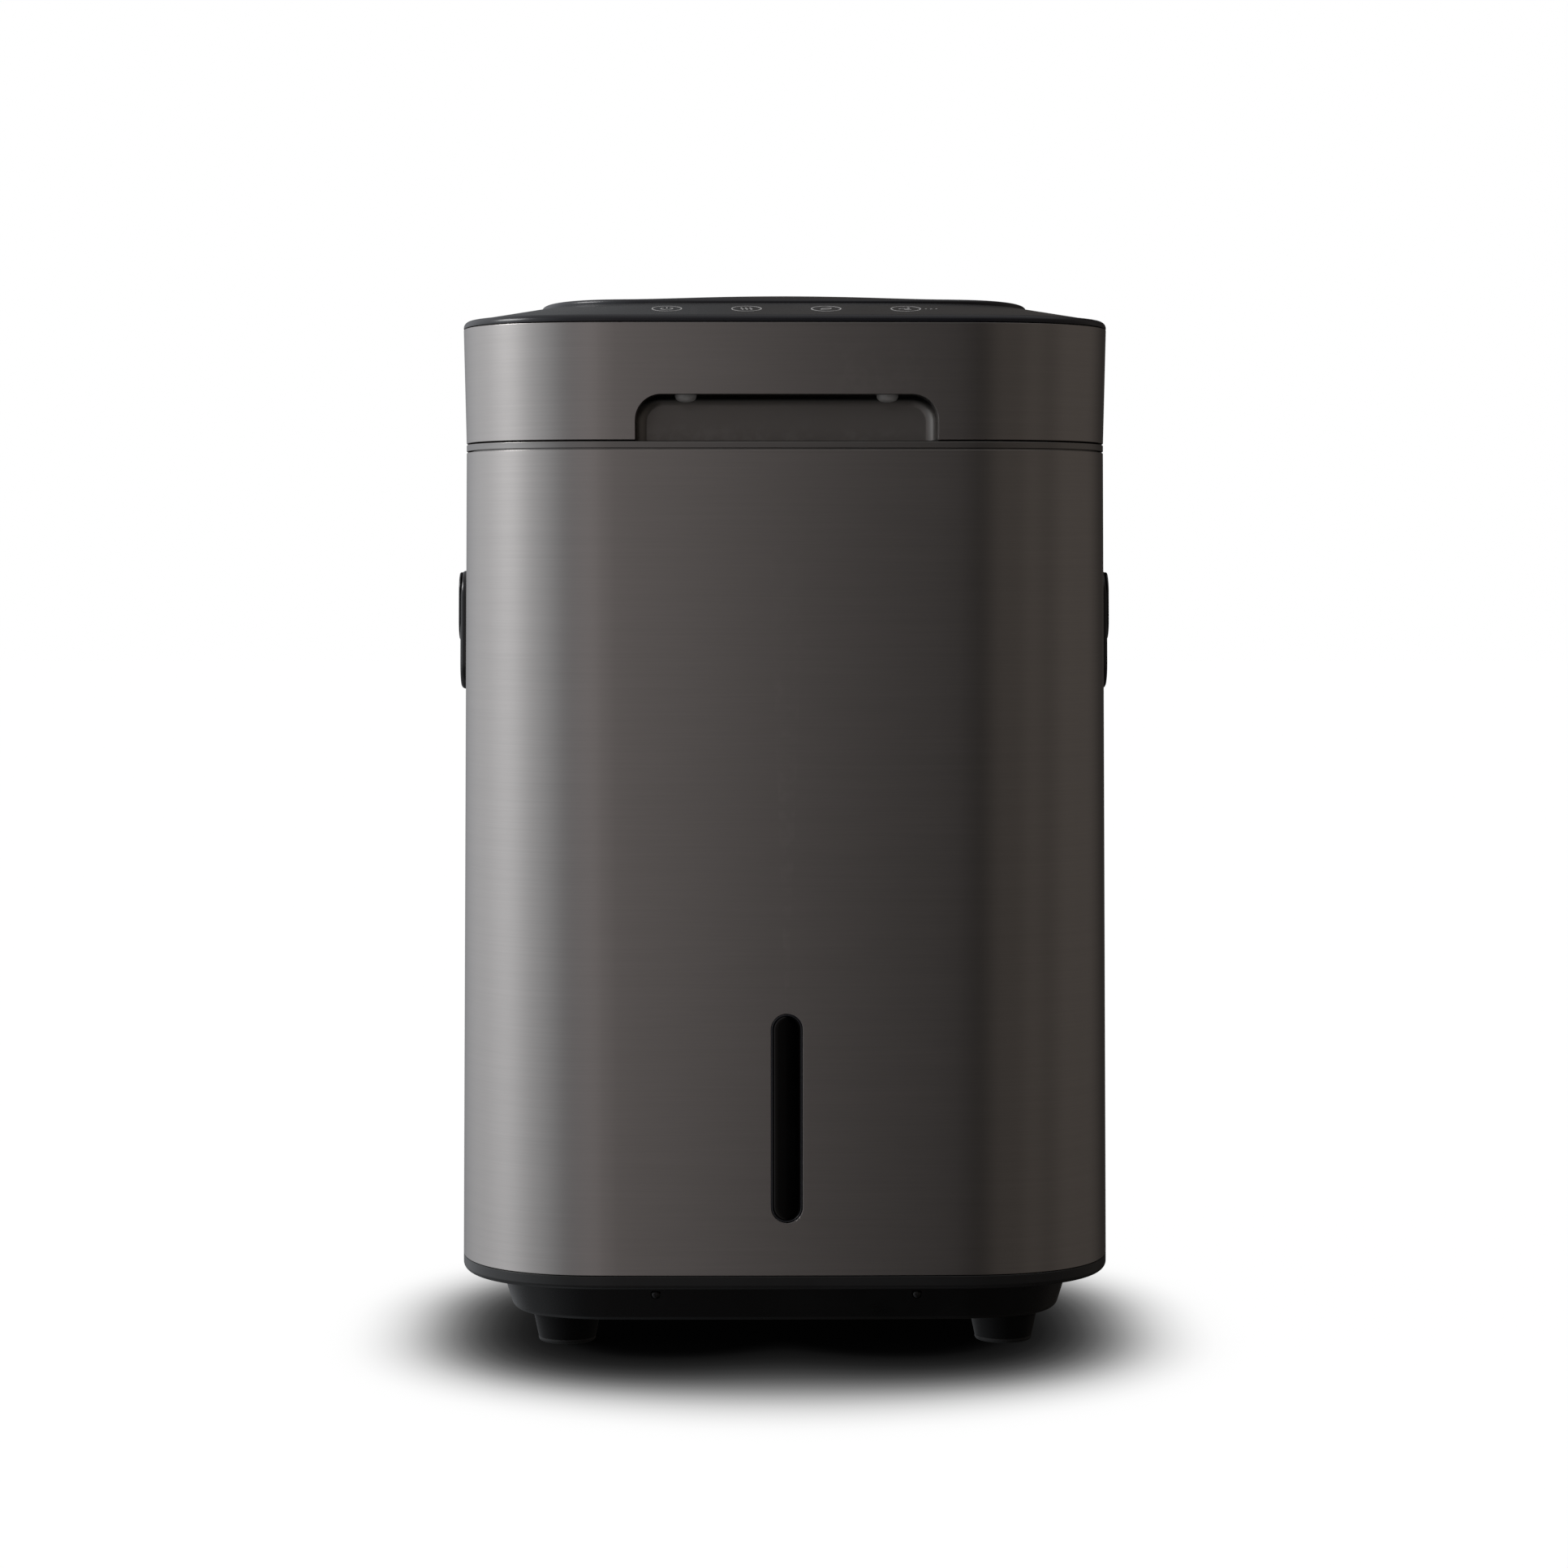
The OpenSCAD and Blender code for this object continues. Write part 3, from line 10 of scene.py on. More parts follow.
import bmesh
import bpy
from mathutils import Matrix, Vector


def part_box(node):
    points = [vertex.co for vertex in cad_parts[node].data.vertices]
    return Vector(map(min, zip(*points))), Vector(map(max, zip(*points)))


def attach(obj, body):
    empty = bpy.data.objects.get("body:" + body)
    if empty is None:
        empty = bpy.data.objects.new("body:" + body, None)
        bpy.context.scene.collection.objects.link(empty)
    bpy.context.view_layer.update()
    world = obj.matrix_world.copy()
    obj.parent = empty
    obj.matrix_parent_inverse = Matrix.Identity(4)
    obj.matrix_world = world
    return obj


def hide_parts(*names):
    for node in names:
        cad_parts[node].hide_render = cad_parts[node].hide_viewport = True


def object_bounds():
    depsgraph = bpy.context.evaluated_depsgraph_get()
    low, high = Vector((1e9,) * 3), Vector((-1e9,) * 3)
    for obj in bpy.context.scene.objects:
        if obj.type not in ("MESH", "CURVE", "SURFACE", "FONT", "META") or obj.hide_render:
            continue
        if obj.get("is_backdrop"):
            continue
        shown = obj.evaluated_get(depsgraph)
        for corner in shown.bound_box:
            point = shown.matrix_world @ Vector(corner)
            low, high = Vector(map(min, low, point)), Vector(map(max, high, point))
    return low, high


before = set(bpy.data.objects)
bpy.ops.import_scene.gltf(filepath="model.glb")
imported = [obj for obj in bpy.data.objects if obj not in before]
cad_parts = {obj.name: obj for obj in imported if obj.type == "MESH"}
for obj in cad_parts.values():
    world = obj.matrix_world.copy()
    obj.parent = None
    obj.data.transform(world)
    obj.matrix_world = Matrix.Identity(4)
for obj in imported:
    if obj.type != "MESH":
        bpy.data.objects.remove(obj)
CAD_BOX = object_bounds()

LOG = logging.getLogger("composter")
MM = 0.001
Body = bpy.types.Object
Node = bpy.types.Node
Socket = bpy.types.NodeSocket
Sockets = bpy.types.bpy_prop_collection
Tree = bpy.types.NodeTree
Point2 = tuple[float, float]
Point3 = tuple[float, float, float]
Point4 = tuple[float, float, float, float]
Colour = Point3
Points = Sequence[Point2]
Ring = list[Vector]
Value = Union[Socket, float, Sequence[float]]


@cache
def corners(node: str) -> tuple[Vector, Vector]:
    """Lowest and highest corner of a CAD node, in metres."""
    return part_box(node)


def low(node: str) -> Vector:
    """Lowest corner of a CAD node, in metres."""
    return corners(node)[0]


def high(node: str) -> Vector:
    """Highest corner of a CAD node, in metres."""
    return corners(node)[1]


def mid_z(node: str) -> float:
    """Height of a CAD node's middle, in metres."""
    return (low(node).z + high(node).z) / 2


# ---- outlines and profiles


@dataclass(frozen=True)
class Outline:
    """A rounded rectangle seen from above, whose front edge can bow out.

    An ease of 2 gives round corners, and more gives corners that start more gently.
    """

    width: float
    depth: float
    radius: float
    bow: float = 0.0
    corner_steps: int = 18
    side_steps: int = 10
    ease: float = 2.0

    def inset(self, distance: float) -> "Outline":
        """The same outline, stood in by a distance all round."""
        return replace(
            self,
            width=self.width - 2 * distance,
            depth=self.depth - 2 * distance,
            radius=max(self.radius - distance, 0.4 * MM),
        )

    def points(self) -> list[Point2]:
        """Points round the outline, anticlockwise from the front right corner."""
        reach = self.radius * (1 - 0.5 ** 0.5) / (1 - 0.5 ** (1 / self.ease))
        half_x, half_y = self.width / 2 - reach, self.depth / 2 - reach
        quarters = [(half_x, -half_y, -90), (half_x, half_y, 0), (-half_x, half_y, 90), (-half_x, -half_y, 180)]
        raw: list[Point2] = []
        for index, (x, y, start) in enumerate(quarters):
            turn = radians(start)
            for step in range(self.corner_steps + 1):
                angle = pi / 2 * step / self.corner_steps
                out = reach * max(0.0, cos(angle)) ** (2 / self.ease)
                along = reach * sin(angle) ** (2 / self.ease)
                raw.append((x + out * cos(turn) - along * sin(turn),
                            y + out * sin(turn) + along * cos(turn)))
            next_x, next_y, next_start = quarters[(index + 1) % 4]
            turn = radians(next_start)
            goal = (next_x + reach * cos(turn), next_y + reach * sin(turn))
            last = raw[-1]
            for step in range(1, self.side_steps):
                raw.append(between(last, goal, step / self.side_steps))
        return [self.bowed(point) for point in raw]

    def bowed(self, point: Point2) -> Point2:
        """A point of the front half, drawn back by the front's bow."""
        x, y = point
        return (x, y + self.bow * (2 * x / self.width) ** 2) if y < 0 else (x, y)

    def ring(self, z: float) -> Ring:
        """The outline as a ring of points at one height."""
        return [Vector((x, y, z)) for x, y in self.points()]


def angles(step: float, first: int, last: int) -> list[float]:
    """Angles in radians, from the first to the last multiple of a step in degrees."""
    way = 1 if last >= first else -1
    return [radians(step * i) for i in range(first, last + way, way)]


def circle(radius: float, step: float, first: int, last: int) -> list[Point2]:
    """Points of an arc about the origin, from the first to the last multiple of a step in degrees."""
    return [(radius * cos(a), radius * sin(a)) for a in angles(step, first, last)]


def between(one: Sequence[float], other: Sequence[float], share: float) -> tuple[float, ...]:
    """A point or colour between two others."""
    return tuple(a + (b - a) * share for a, b in zip(one, other))


def fillet(polygon: Sequence[Point3], closed: bool = True, steps: int = 5) -> list[Point2]:
    """Rounds the corners of a polygon.

    Args:
        polygon: Points as (x, y, radius), where a radius of 0 keeps the corner sharp.
        closed: Whether the last point joins the first.
        steps: Facets in each rounded corner.

    Returns:
        The points of the rounded polygon.
    """
    points: list[Point2] = []
    count = len(polygon)
    for index, (x, y, radius) in enumerate(polygon):
        ends = not closed and index in (0, count - 1)
        if radius <= 0 or ends:
            points.append((x, y))
            continue
        here = Vector((x, y))
        before = Vector(polygon[index - 1][:2]) - here
        after = Vector(polygon[(index + 1) % count][:2]) - here
        before_unit, after_unit = before.normalized(), after.normalized()
        half_angle = before_unit.angle(after_unit) / 2
        if abs(half_angle - pi / 2) < 1e-4:
            points.append((x, y))
            continue
        run = min(radius / tan(half_angle), before.length / 2, after.length / 2)
        reach = run * tan(half_angle)
        centre = here + (before_unit + after_unit).normalized() * hypot(run, reach)
        start, stop = here + before_unit * run - centre, here + after_unit * run - centre
        bend = start.angle_signed(stop)
        for step in range(steps + 1):
            turned = start.copy()
            turned.rotate(Matrix.Rotation(-bend * step / steps, 2))
            points.append(tuple(centre + turned))
    return points


def lengthen(points: Points, longest: float) -> list[Point2]:
    """Adds points to a closed polygon so that no edge is longer than the given length."""
    made: list[Point2] = []
    for index, start in enumerate(points):
        stop = points[(index + 1) % len(points)]
        pieces = max(1, ceil(dist(start, stop) / longest))
        made.extend(between(start, stop, step / pieces) for step in range(pieces))
    return made


def rectangle(width: float, height: float, radius: float, steps: int = 8) -> list[Point2]:
    """A rounded rectangle about the origin, anticlockwise."""
    x, y = width / 2, height / 2
    return fillet([(-x, -y, radius), (x, -y, radius), (x, y, radius), (-x, y, radius)], steps=steps)


# ---- meshes


def new_object(name: str, data: bpy.types.ID) -> Body:
    """Puts a mesh, a light or a camera into the scene as an object at the origin."""
    made = bpy.data.objects.new(name, data)
    bpy.context.scene.collection.objects.link(made)
    return made


def mesh_from(name: str, vertices: Sequence[Vector], faces: Sequence[Sequence[int]]) -> Body:
    """Makes an object whose faces all point outwards.

    Args:
        name: Name of the object and its mesh.
        vertices: Points in metres.
        faces: Corner numbers of each face.

    Returns:
        The new object.
    """
    mesh = bpy.data.meshes.new(name)
    mesh.from_pydata([tuple(v) for v in vertices], [], [list(f) for f in faces])
    work = bmesh.new()
    work.from_mesh(mesh)
    bmesh.ops.remove_doubles(work, verts=work.verts, dist=1e-7)
    bmesh.ops.recalc_face_normals(work, faces=work.faces)
    work.to_mesh(mesh)
    work.free()
    return new_object(name, mesh)


def skin(name: str, rings: Sequence[Ring], around: bool = False, apex: Optional[Vector] = None) -> Body:
    """Skins a surface over rings that follow each other.

    Args:
        name: Name of the object.
        rings: Rings with the same number of points.
        around: Whether the last ring joins the first. If not, both ends are filled.
        apex: A point that closes the last ring instead of a flat cap.

    Returns:
        The new object.
    """
    count, total = len(rings[0]), len(rings)
    vertices = [point for ring in rings for point in ring]
    faces: list[list[int]] = []
    for row in range(total if around else total - 1):
        ahead = (row + 1) % total
        for column in range(count):
            side = (column + 1) % count
            faces.append([row * count + column, row * count + side, ahead * count + side, ahead * count + column])
    if not around:
        faces.append(list(range(count))[::-1])
        last = (total - 1) * count
        if apex is None:
            faces.append([last + i for i in range(count)])
        else:
            vertices.append(apex)
            faces.extend([last + i, last + (i + 1) % count, len(vertices) - 1] for i in range(count))
    return mesh_from(name, vertices, faces)


def sweep(name: str, outline: Outline, profile: Points, closed: bool = True) -> Body:
    """Carries a profile of (distance inside the outline, height) points round an outline."""
    return skin(name, [outline.inset(inset).ring(z) for inset, z in profile], around=closed)


def prism(name: str, outline: Points, bottom: float, top: float, edge: float = 0.0,
          foot: float = 0.0) -> Body:
    """Extrudes an outline along Z, with rounded upper and lower edges.

    Args:
        name: Name of the object.
        outline: Anticlockwise points.
        bottom: Lower height.
        top: Upper height.
        edge: Radius of the upper edge.
        foot: Radius of the lower edge.

    Returns:
        The new object.
    """
    rings: list[Ring] = []
    for radius, level, sign in ((foot, bottom, 1), (edge, top, -1)):
        rows = [(0.0, level)]
        if radius > 0:
            turn = angles(18, 0, 5)
            rows = [(1.1 * radius, level)]
            rows += [(radius * (1 - sin(a)), level + sign * radius * (1 - cos(a))) for a in turn]
        rings.extend(offset_ring(outline, inset, z) for inset, z in rows[::sign])
    return skin(name, rings)


def offset_ring(outline: Points, inset: float, z: float) -> Ring:
    """An anticlockwise outline stood in by a distance, as a ring of points at one height."""
    count = len(outline)
    ring: Ring = []
    for index, point in enumerate(outline):
        here = Vector(point)
        before = (here - Vector(outline[index - 1])).normalized()
        after = (Vector(outline[(index + 1) % count]) - here).normalized()
        normal = Vector((-(before.y + after.y), before.x + after.x)).normalized()
        spread = max(0.3, normal.dot(Vector((-after.y, after.x))))
        moved = here + normal * (inset / spread)
        ring.append(Vector((moved.x, moved.y, z)))
    return ring


def turned_rings(profile: Points, steps: int) -> list[Ring]:
    """Rings about Z at the (radius, height) points of a profile."""
    return [[Vector((radius * cos(tau * i / steps), radius * sin(tau * i / steps), z))
             for i in range(steps)] for radius, z in profile]


def lathe(name: str, profile: Points, steps: int = 64) -> Body:
    """Turns a profile of (radius, height) points about Z, closed at both ends."""
    return skin(name, turned_rings(profile, steps))


def turned_rod(name: str, radius: float, start: float, stop: float, chamfer: float) -> Body:
    """A round bar along Z with chamfered ends."""
    slim = radius - chamfer
    return lathe(name, [(slim, start), (radius, start + chamfer), (radius, stop - chamfer), (slim, stop)])


def shift(way: Sequence[float]) -> Matrix:
    """Matrix that moves by a vector."""
    return Matrix.Translation(way)


def rotate(axis: str, angle: float = 90) -> Matrix:
    """Matrix that turns about an axis by an angle in degrees."""
    return Matrix.Rotation(radians(angle), 4, axis)


def place(piece: Body, matrix: Matrix) -> Body:
    """Moves the mesh itself, so that the object stays at the origin."""
    piece.data.transform(matrix)
    if matrix.determinant() < 0:
        piece.data.flip_normals()
    piece.data.update()
    return piece


def join(name: str, parts: Sequence[Body]) -> Body:
    """Joins the meshes of objects into one new object, without a material."""
    work = bmesh.new()
    for part in parts:
        work.from_mesh(part.data)
    mesh = bpy.data.meshes.new(name)
    work.to_mesh(mesh)
    work.free()
    for part in parts:
        bpy.data.objects.remove(part)
    return new_object(name, mesh)


def baked(piece: Body) -> Body:
    """Applies an object's modifiers to its mesh."""
    graph = bpy.context.evaluated_depsgraph_get()
    mesh = bpy.data.meshes.new_from_object(piece.evaluated_get(graph))
    piece.modifiers.clear()
    piece.data = mesh
    return piece


class Cut(Enum):
    """What a tool body does to a piece."""

    AWAY = "DIFFERENCE"
    ADD = "UNION"


def shape(piece: Body, tool: Body, cut: Cut = Cut.AWAY) -> Body:
    """Cuts or joins a piece with a tool body, which is used up.

    Args:
        piece: The piece that is changed.
        tool: A closed mesh.
        cut: What is done with it.

    Returns:
        The changed piece.
    """
    change = piece.modifiers.new("shape", "BOOLEAN")
    change.operation = cut.value
    change.solver = "EXACT"
    change.object = tool
    baked(piece)
    bpy.data.objects.remove(tool)
    return piece


def carve(piece: Body, at: Matrix, outline: Points, bottom: float, top: float, cut: Cut = Cut.AWAY,
          edge: float = 0.0, foot: float = 0.0) -> Body:
    """Cuts or joins a piece with a prism that stands in a frame, and gives back the piece."""
    return shape(piece, place(prism("tool", outline, bottom, top, edge, foot), at), cut)


def soften(piece: Body, width: float = 0.0, angle: float = 35.0, segments: int = 3) -> Body:
    """Bevels the sharp edges of a piece and shades it smoothly.

    Args:
        piece: The piece.
        width: Width of the bevel, or 0 for none.
        angle: Edges sharper than this many degrees are bevelled, or shaded sharp.
        segments: Facets across a bevel.

    Returns:
        The same piece.
    """
    if width > 0:
        bevel = piece.modifiers.new("edges", "BEVEL")
        bevel.width = width
        bevel.segments = segments
        bevel.limit_method = "ANGLE"
        bevel.angle_limit = radians(angle)
        bevel.use_clamp_overlap = True
        bevel.harden_normals = False
        baked(piece)
    mesh = piece.data
    mesh.polygons.foreach_set("use_smooth", [True] * len(mesh.polygons))
    mesh.set_sharp_from_angle(angle=radians(angle))
    weighted = piece.modifiers.new("shading", "WEIGHTED_NORMAL")
    weighted.keep_sharp = True
    weighted.weight = 50
    return piece


# ---- repeats by Geometry Nodes


class Graph:
    """Adds nodes to one tree and joins their sockets."""

    def __init__(self, tree: Tree) -> None:
        """Keeps the tree that the nodes go into."""
        self.tree = tree

    @classmethod
    def of(cls, owner: bpy.types.ID) -> "Graph":
        """The emptied nodes of a material or a world."""
        owner.use_nodes = True
        owner.node_tree.nodes.clear()
        return cls(owner.node_tree)

    def add(self, kind: str, inputs: Optional[dict] = None, **settings) -> Node:
        """Adds a node.

        Args:
            kind: Blender's name of the node type.
            inputs: Values or sockets by input name or number.
            settings: Properties of the node.

        Returns:
            The new node.
        """
        node = self.tree.nodes.new(kind)
        for name, value in settings.items():
            setattr(node, name, value)
        for key, value in (inputs or {}).items():
            if isinstance(value, Socket):
                self.tree.links.new(value, node.inputs[key])
            else:
                node.inputs[key].default_value = value
        return node

    def join(self, source: Socket, target: Socket) -> None:
        """Links one socket to another."""
        self.tree.links.new(source, target)

    def math(self, kind: str, *values: Value) -> Socket:
        """Result of a math node on values or sockets."""
        return self.add("ShaderNodeMath", dict(enumerate(values)), operation=kind).outputs[0]

    def mix(self, share: Socket, one: Value, other: Value) -> Socket:
        """Mix of two colours by a share."""
        return self.add("ShaderNodeMix", {"Factor": share, 6: one, 7: other}, data_type="RGBA").outputs[2]

    def use(self, tree: Tree, amount: Optional[float] = None) -> Sockets:
        """Outputs of a shared group, whose Amount may be set."""
        node = self.add("ShaderNodeGroup", node_tree=tree)
        if amount is not None:
            node.inputs["Amount"].default_value = amount
        return node.outputs

    def place_of(self) -> Socket:
        """The object's own coordinates."""
        return self.add("ShaderNodeTexCoord").outputs["Object"]

    def upward(self) -> Socket:
        """How far the surface faces up, from -1 to 1."""
        normal = self.add("ShaderNodeNewGeometry").outputs["Normal"]
        return self.add("ShaderNodeSeparateXYZ", {0: normal}).outputs["Z"]


def rows_tree() -> Tree:
    """Geometry Nodes tree that repeats a piece over a grid of rows and columns.

    Returns:
        The tree, with inputs for the counts, the gaps and the place of the grid.
    """
    name = "rows_of_pieces"
    if name in bpy.data.node_groups:
        return bpy.data.node_groups[name]
    tree = bpy.data.node_groups.new(name, "GeometryNodeTree")
    sockets = {"Piece": "Geometry", "Columns": "Int", "Rows": "Int", "Column gap": "Float", "Row gap": "Float",
               "Place": "Vector"}
    for label, kind in sockets.items():
        tree.interface.new_socket(label, in_out="INPUT", socket_type="NodeSocket" + kind)
    tree.interface.new_socket("Pieces", in_out="OUTPUT", socket_type="NodeSocketGeometry")
    graph = Graph(tree)
    given = graph.add("NodeGroupInput").outputs
    width = graph.math("MULTIPLY", graph.math("SUBTRACT", given["Columns"], 1.0), given["Column gap"])
    depth = graph.math("MULTIPLY", graph.math("SUBTRACT", given["Rows"], 1.0), given["Row gap"])
    grid = graph.add("GeometryNodeMeshGrid", {
        "Size X": width, "Size Y": depth, "Vertices X": given["Columns"], "Vertices Y": given["Rows"]})
    points = graph.add("GeometryNodeMeshToPoints", {"Mesh": grid.outputs["Mesh"]})
    spread = graph.add("GeometryNodeInstanceOnPoints", {"Points": points.outputs[0], "Instance": given["Piece"]})
    moved = graph.add("GeometryNodeTransform", {"Geometry": spread.outputs[0], "Translation": given["Place"]})
    real = graph.add("GeometryNodeRealizeInstances", {"Geometry": moved.outputs[0]})
    graph.add("NodeGroupOutput", {0: real.outputs[0]})
    return tree


@dataclass(frozen=True)
class Rows:
    """A grid of equal pieces: how many, how far apart and where."""

    columns: int = 1
    rows: int = 1
    column_gap: float = 0.0
    row_gap: float = 0.0
    place: Point3 = (0.0, 0.0, 0.0)

    def of(self, piece: Body) -> Body:
        """Repeats a piece over the grid and leaves one plain mesh.

        Args:
            piece: The piece to repeat, drawn about the origin.

        Returns:
            The same object, now holding all the copies.
        """
        tree = rows_tree()
        values = {"Columns": self.columns, "Rows": self.rows, "Column gap": self.column_gap,
                  "Row gap": self.row_gap, "Place": self.place}
        change = piece.modifiers.new("rows", "NODES")
        change.node_group = tree
        for item in tree.interface.items_tree:
            if item.name in values:
                change[item.identifier] = values[item.name]
        return baked(piece)


# ---- finishes


def group(name: str, inputs: Sequence[str], outputs: Sequence[str], fill: Callable) -> Tree:
    """A shader group of numbers that several finishes share.

    Args:
        name: Name of the group.
        inputs: Names of the inputs.
        outputs: Names of the outputs.
        fill: Function that draws the group from its graph and inputs and returns the output sockets.

    Returns:
        The group, made once.
    """
    if name in bpy.data.node_groups:
        return bpy.data.node_groups[name]
    tree = bpy.data.node_groups.new(name, "ShaderNodeTree")
    for labels, way in ((inputs, "INPUT"), (outputs, "OUTPUT")):
        for label in labels:
            tree.interface.new_socket(label, in_out=way, socket_type="NodeSocketFloat")
    graph = Graph(tree)
    given = graph.add("NodeGroupInput").outputs
    results = fill(graph, given)
    graph.add("NodeGroupOutput", {label: results[label] for label in outputs})
    return tree


def ramp(graph: Graph, value: Socket, start: float, stop: float, low_out: float = 0.0,
         high_out: float = 1.0) -> Socket:
    """A value moved smoothly from one range to another."""
    settings = {"Value": value, "From Min": start, "From Max": stop, "To Min": low_out, "To Max": high_out}
    return graph.add("ShaderNodeMapRange", settings, interpolation_type="SMOOTHSTEP").outputs["Result"]


def noise(graph: Graph, scale: float, detail: float = 3.0, stretch: Sequence[float] = (1, 1, 1),
          rough: float = 0.55) -> Socket:
    """Noise on the object's own coordinates, in cycles a metre."""
    placed = graph.add("ShaderNodeMapping", {"Vector": graph.place_of(), "Scale": tuple(stretch)}).outputs[0]
    settings = {"Vector": placed, "Scale": scale, "Detail": detail, "Roughness": rough}
    return graph.add("ShaderNodeTexNoise", settings).outputs["Fac"]


class Grain(Enum):
    """Which way the fine lines of a brushed surface run."""

    LEVEL = (0.012, 0.012, 1.0)
    LENGTHWISE = (0.012, 1.0, 1.0)


def hairline(grain: Grain) -> Tree:
    """Group of brushed lines: Tone and Height from 0 to 1, and Cloud for slow changes."""

    def fill(graph: Graph, given: Sockets) -> dict:
        """Draws the group."""
        fine = noise(graph, 1700, 3, grain.value, 0.62)
        broad = noise(graph, 420, 4, grain.value, 0.6)
        cloud = noise(graph, 9, 3)
        both = graph.math("ADD", graph.math("MULTIPLY", fine, 0.6), graph.math("MULTIPLY", broad, 0.4))
        return {"Tone": ramp(graph, both, 0.3, 0.7), "Height": both, "Cloud": cloud}

    return group(f"hairline_{grain.name.lower()}", (), ("Tone", "Height", "Cloud"), fill)


def edge_wear() -> Tree:
    """Group whose Mask is 1 on convex edges, which are painted lighter as highlight and as rubbed wear."""

    def fill(graph: Graph, given: Sockets) -> dict:
        """Draws the group."""
        # Painted highlight and wear: convex edges are found by their pointiness.
        point = graph.add("ShaderNodeNewGeometry").outputs["Pointiness"]
        ridge = ramp(graph, point, 0.515, 0.60)
        broken = ramp(graph, noise(graph, 160, 5), 0.42, 0.66)
        return {"Mask": graph.math("MULTIPLY", graph.math("MULTIPLY", ridge, broken), given["Amount"])}

    return group("edge_wear", ("Amount",), ("Mask",), fill)


def settled_dust() -> Tree:
    """Group whose Mask is where a thin dust lies on surfaces that face up."""

    def fill(graph: Graph, given: Sockets) -> dict:
        """Draws the group."""
        facing = ramp(graph, graph.upward(), 0.3, 1.0)
        patches = ramp(graph, noise(graph, 26, 5), 0.40, 0.75)
        specks = ramp(graph, noise(graph, 900, 2), 0.60, 0.78)
        spread = graph.math("ADD", graph.math("MULTIPLY", patches, 0.5), graph.math("MULTIPLY", specks, 0.5))
        return {"Mask": graph.math("MULTIPLY", graph.math("MULTIPLY", facing, spread), given["Amount"])}

    return group("settled_dust", ("Amount",), ("Mask",), fill)


def handling() -> Tree:
    """Group for wiped and fingered surfaces: Smear shifts the roughness, Scratch is 1 on hair scratches."""

    def fill(graph: Graph, given: Sockets) -> dict:
        """Draws the group."""
        smear = ramp(graph, noise(graph, 14, 6, (1, 1, 1), 0.62), 0.35, 0.72)
        swirl = noise(graph, 60, 2, (1.0, 0.05, 0.4), 0.7)
        scratch = ramp(graph, swirl, 0.66, 0.70)
        return {"Smear": smear, "Scratch": scratch}

    return group("handling", (), ("Smear", "Scratch"), fill)


def mould_texture() -> Tree:
    """Group for spark-eroded mould texture: Height of the grain and a slow Tone."""

    def fill(graph: Graph, given: Sockets) -> dict:
        """Draws the group."""
        settings = {"Vector": graph.place_of(), "Scale": 1500.0}
        cells = graph.add("ShaderNodeTexVoronoi", settings, feature="SMOOTH_F1")
        fine = noise(graph, 3200, 2)
        height = graph.math("ADD", graph.math("MULTIPLY", cells.outputs["Distance"], 0.6), fine)
        return {"Height": height, "Tone": noise(graph, 18, 4)}

    return group("mould_texture", (), ("Height", "Tone"), fill)


def shade(colour: Colour, factor: float) -> Point4:
    """A colour made lighter or darker, with full alpha."""
    return tuple(min(1.0, part * factor) for part in colour) + (1.0,)


DUST = (0.42, 0.40, 0.37, 1.0)
# Black of the painted shade on faces that look down.
UNDERSIDE_SHADE_BLACK = (0.003, 0.003, 0.003, 1)


@dataclass(frozen=True)
class Finish:
    """What every finish has: a name, the record's slot, a colour and how it takes the light."""

    name: str
    slot: str
    colour: Colour
    roughness: float = 0.4
    metallic: float = 0.0
    specular: float = 0.5
    coat: float = 0.0
    coat_roughness: float = 0.05
    anisotropic: float = 0.0
    # Amount of convex edges painted lighter, as highlight and as wear.
    highlight_and_wear: float = 0.25
    dust: float = 0.08

    def material(self) -> bpy.types.Material:
        """The material, made once."""
        if self.name in bpy.data.materials:
            return bpy.data.materials[self.name]
        made = bpy.data.materials.new(self.name)
        graph = Graph.of(made)
        shader = graph.add("ShaderNodeBsdfPrincipled", {
            "Metallic": self.metallic, "Roughness": self.roughness, "Specular IOR Level": self.specular,
            "Coat Weight": self.coat, "Coat Roughness": self.coat_roughness, "Anisotropic": self.anisotropic})
        graph.add("ShaderNodeOutputMaterial", {"Surface": shader.outputs[0]})
        self.dress(graph, shader)
        made.diffuse_color = shade(self.colour, 1.0)
        return made

    def dress(self, graph: Graph, shader: Node) -> None:
        """Draws the colour, roughness and relief into the shader."""
        raise NotImplementedError

    def paint(self, graph: Graph, shader: Node, tone: Socket, dark: float, light: float, highlight_and_wear_factor: float = 1.8) -> None:
        """Draws the colour between two shades of itself, with edges painted lighter as highlight and wear, and a thin
        dust.

        Args:
            graph: The material's nodes.
            shader: Its shader.
            tone: Share of the lighter shade.
            dark: Factor of the darker shade.
            light: Factor of the lighter shade.
            highlight_and_wear_factor: Factor of the edges' colour, painted lighter as highlight and wear.
        """
        colour = graph.mix(tone, shade(self.colour, dark), shade(self.colour, light))
        # Painted highlight and wear: convex edges are mixed towards a lighter shade.
        highlight_and_wear_colour = graph.mix(graph.use(edge_wear(), self.highlight_and_wear)[0], colour, shade(self.colour, highlight_and_wear_factor))
        dusty = graph.mix(graph.use(settled_dust(), self.dust)[0], highlight_and_wear_colour, DUST)
        graph.join(dusty, shader.inputs["Base Color"])

    def relief(self, graph: Graph, height: Socket, shader: Node, strength: float, depth: float) -> None:
        """Bumps the shader by a height from 0 to 1, which stands for a depth in metres."""
        bump = graph.add("ShaderNodeBump", {"Height": height, "Strength": strength, "Distance": depth})
        graph.join(bump.outputs[0], shader.inputs["Normal"])


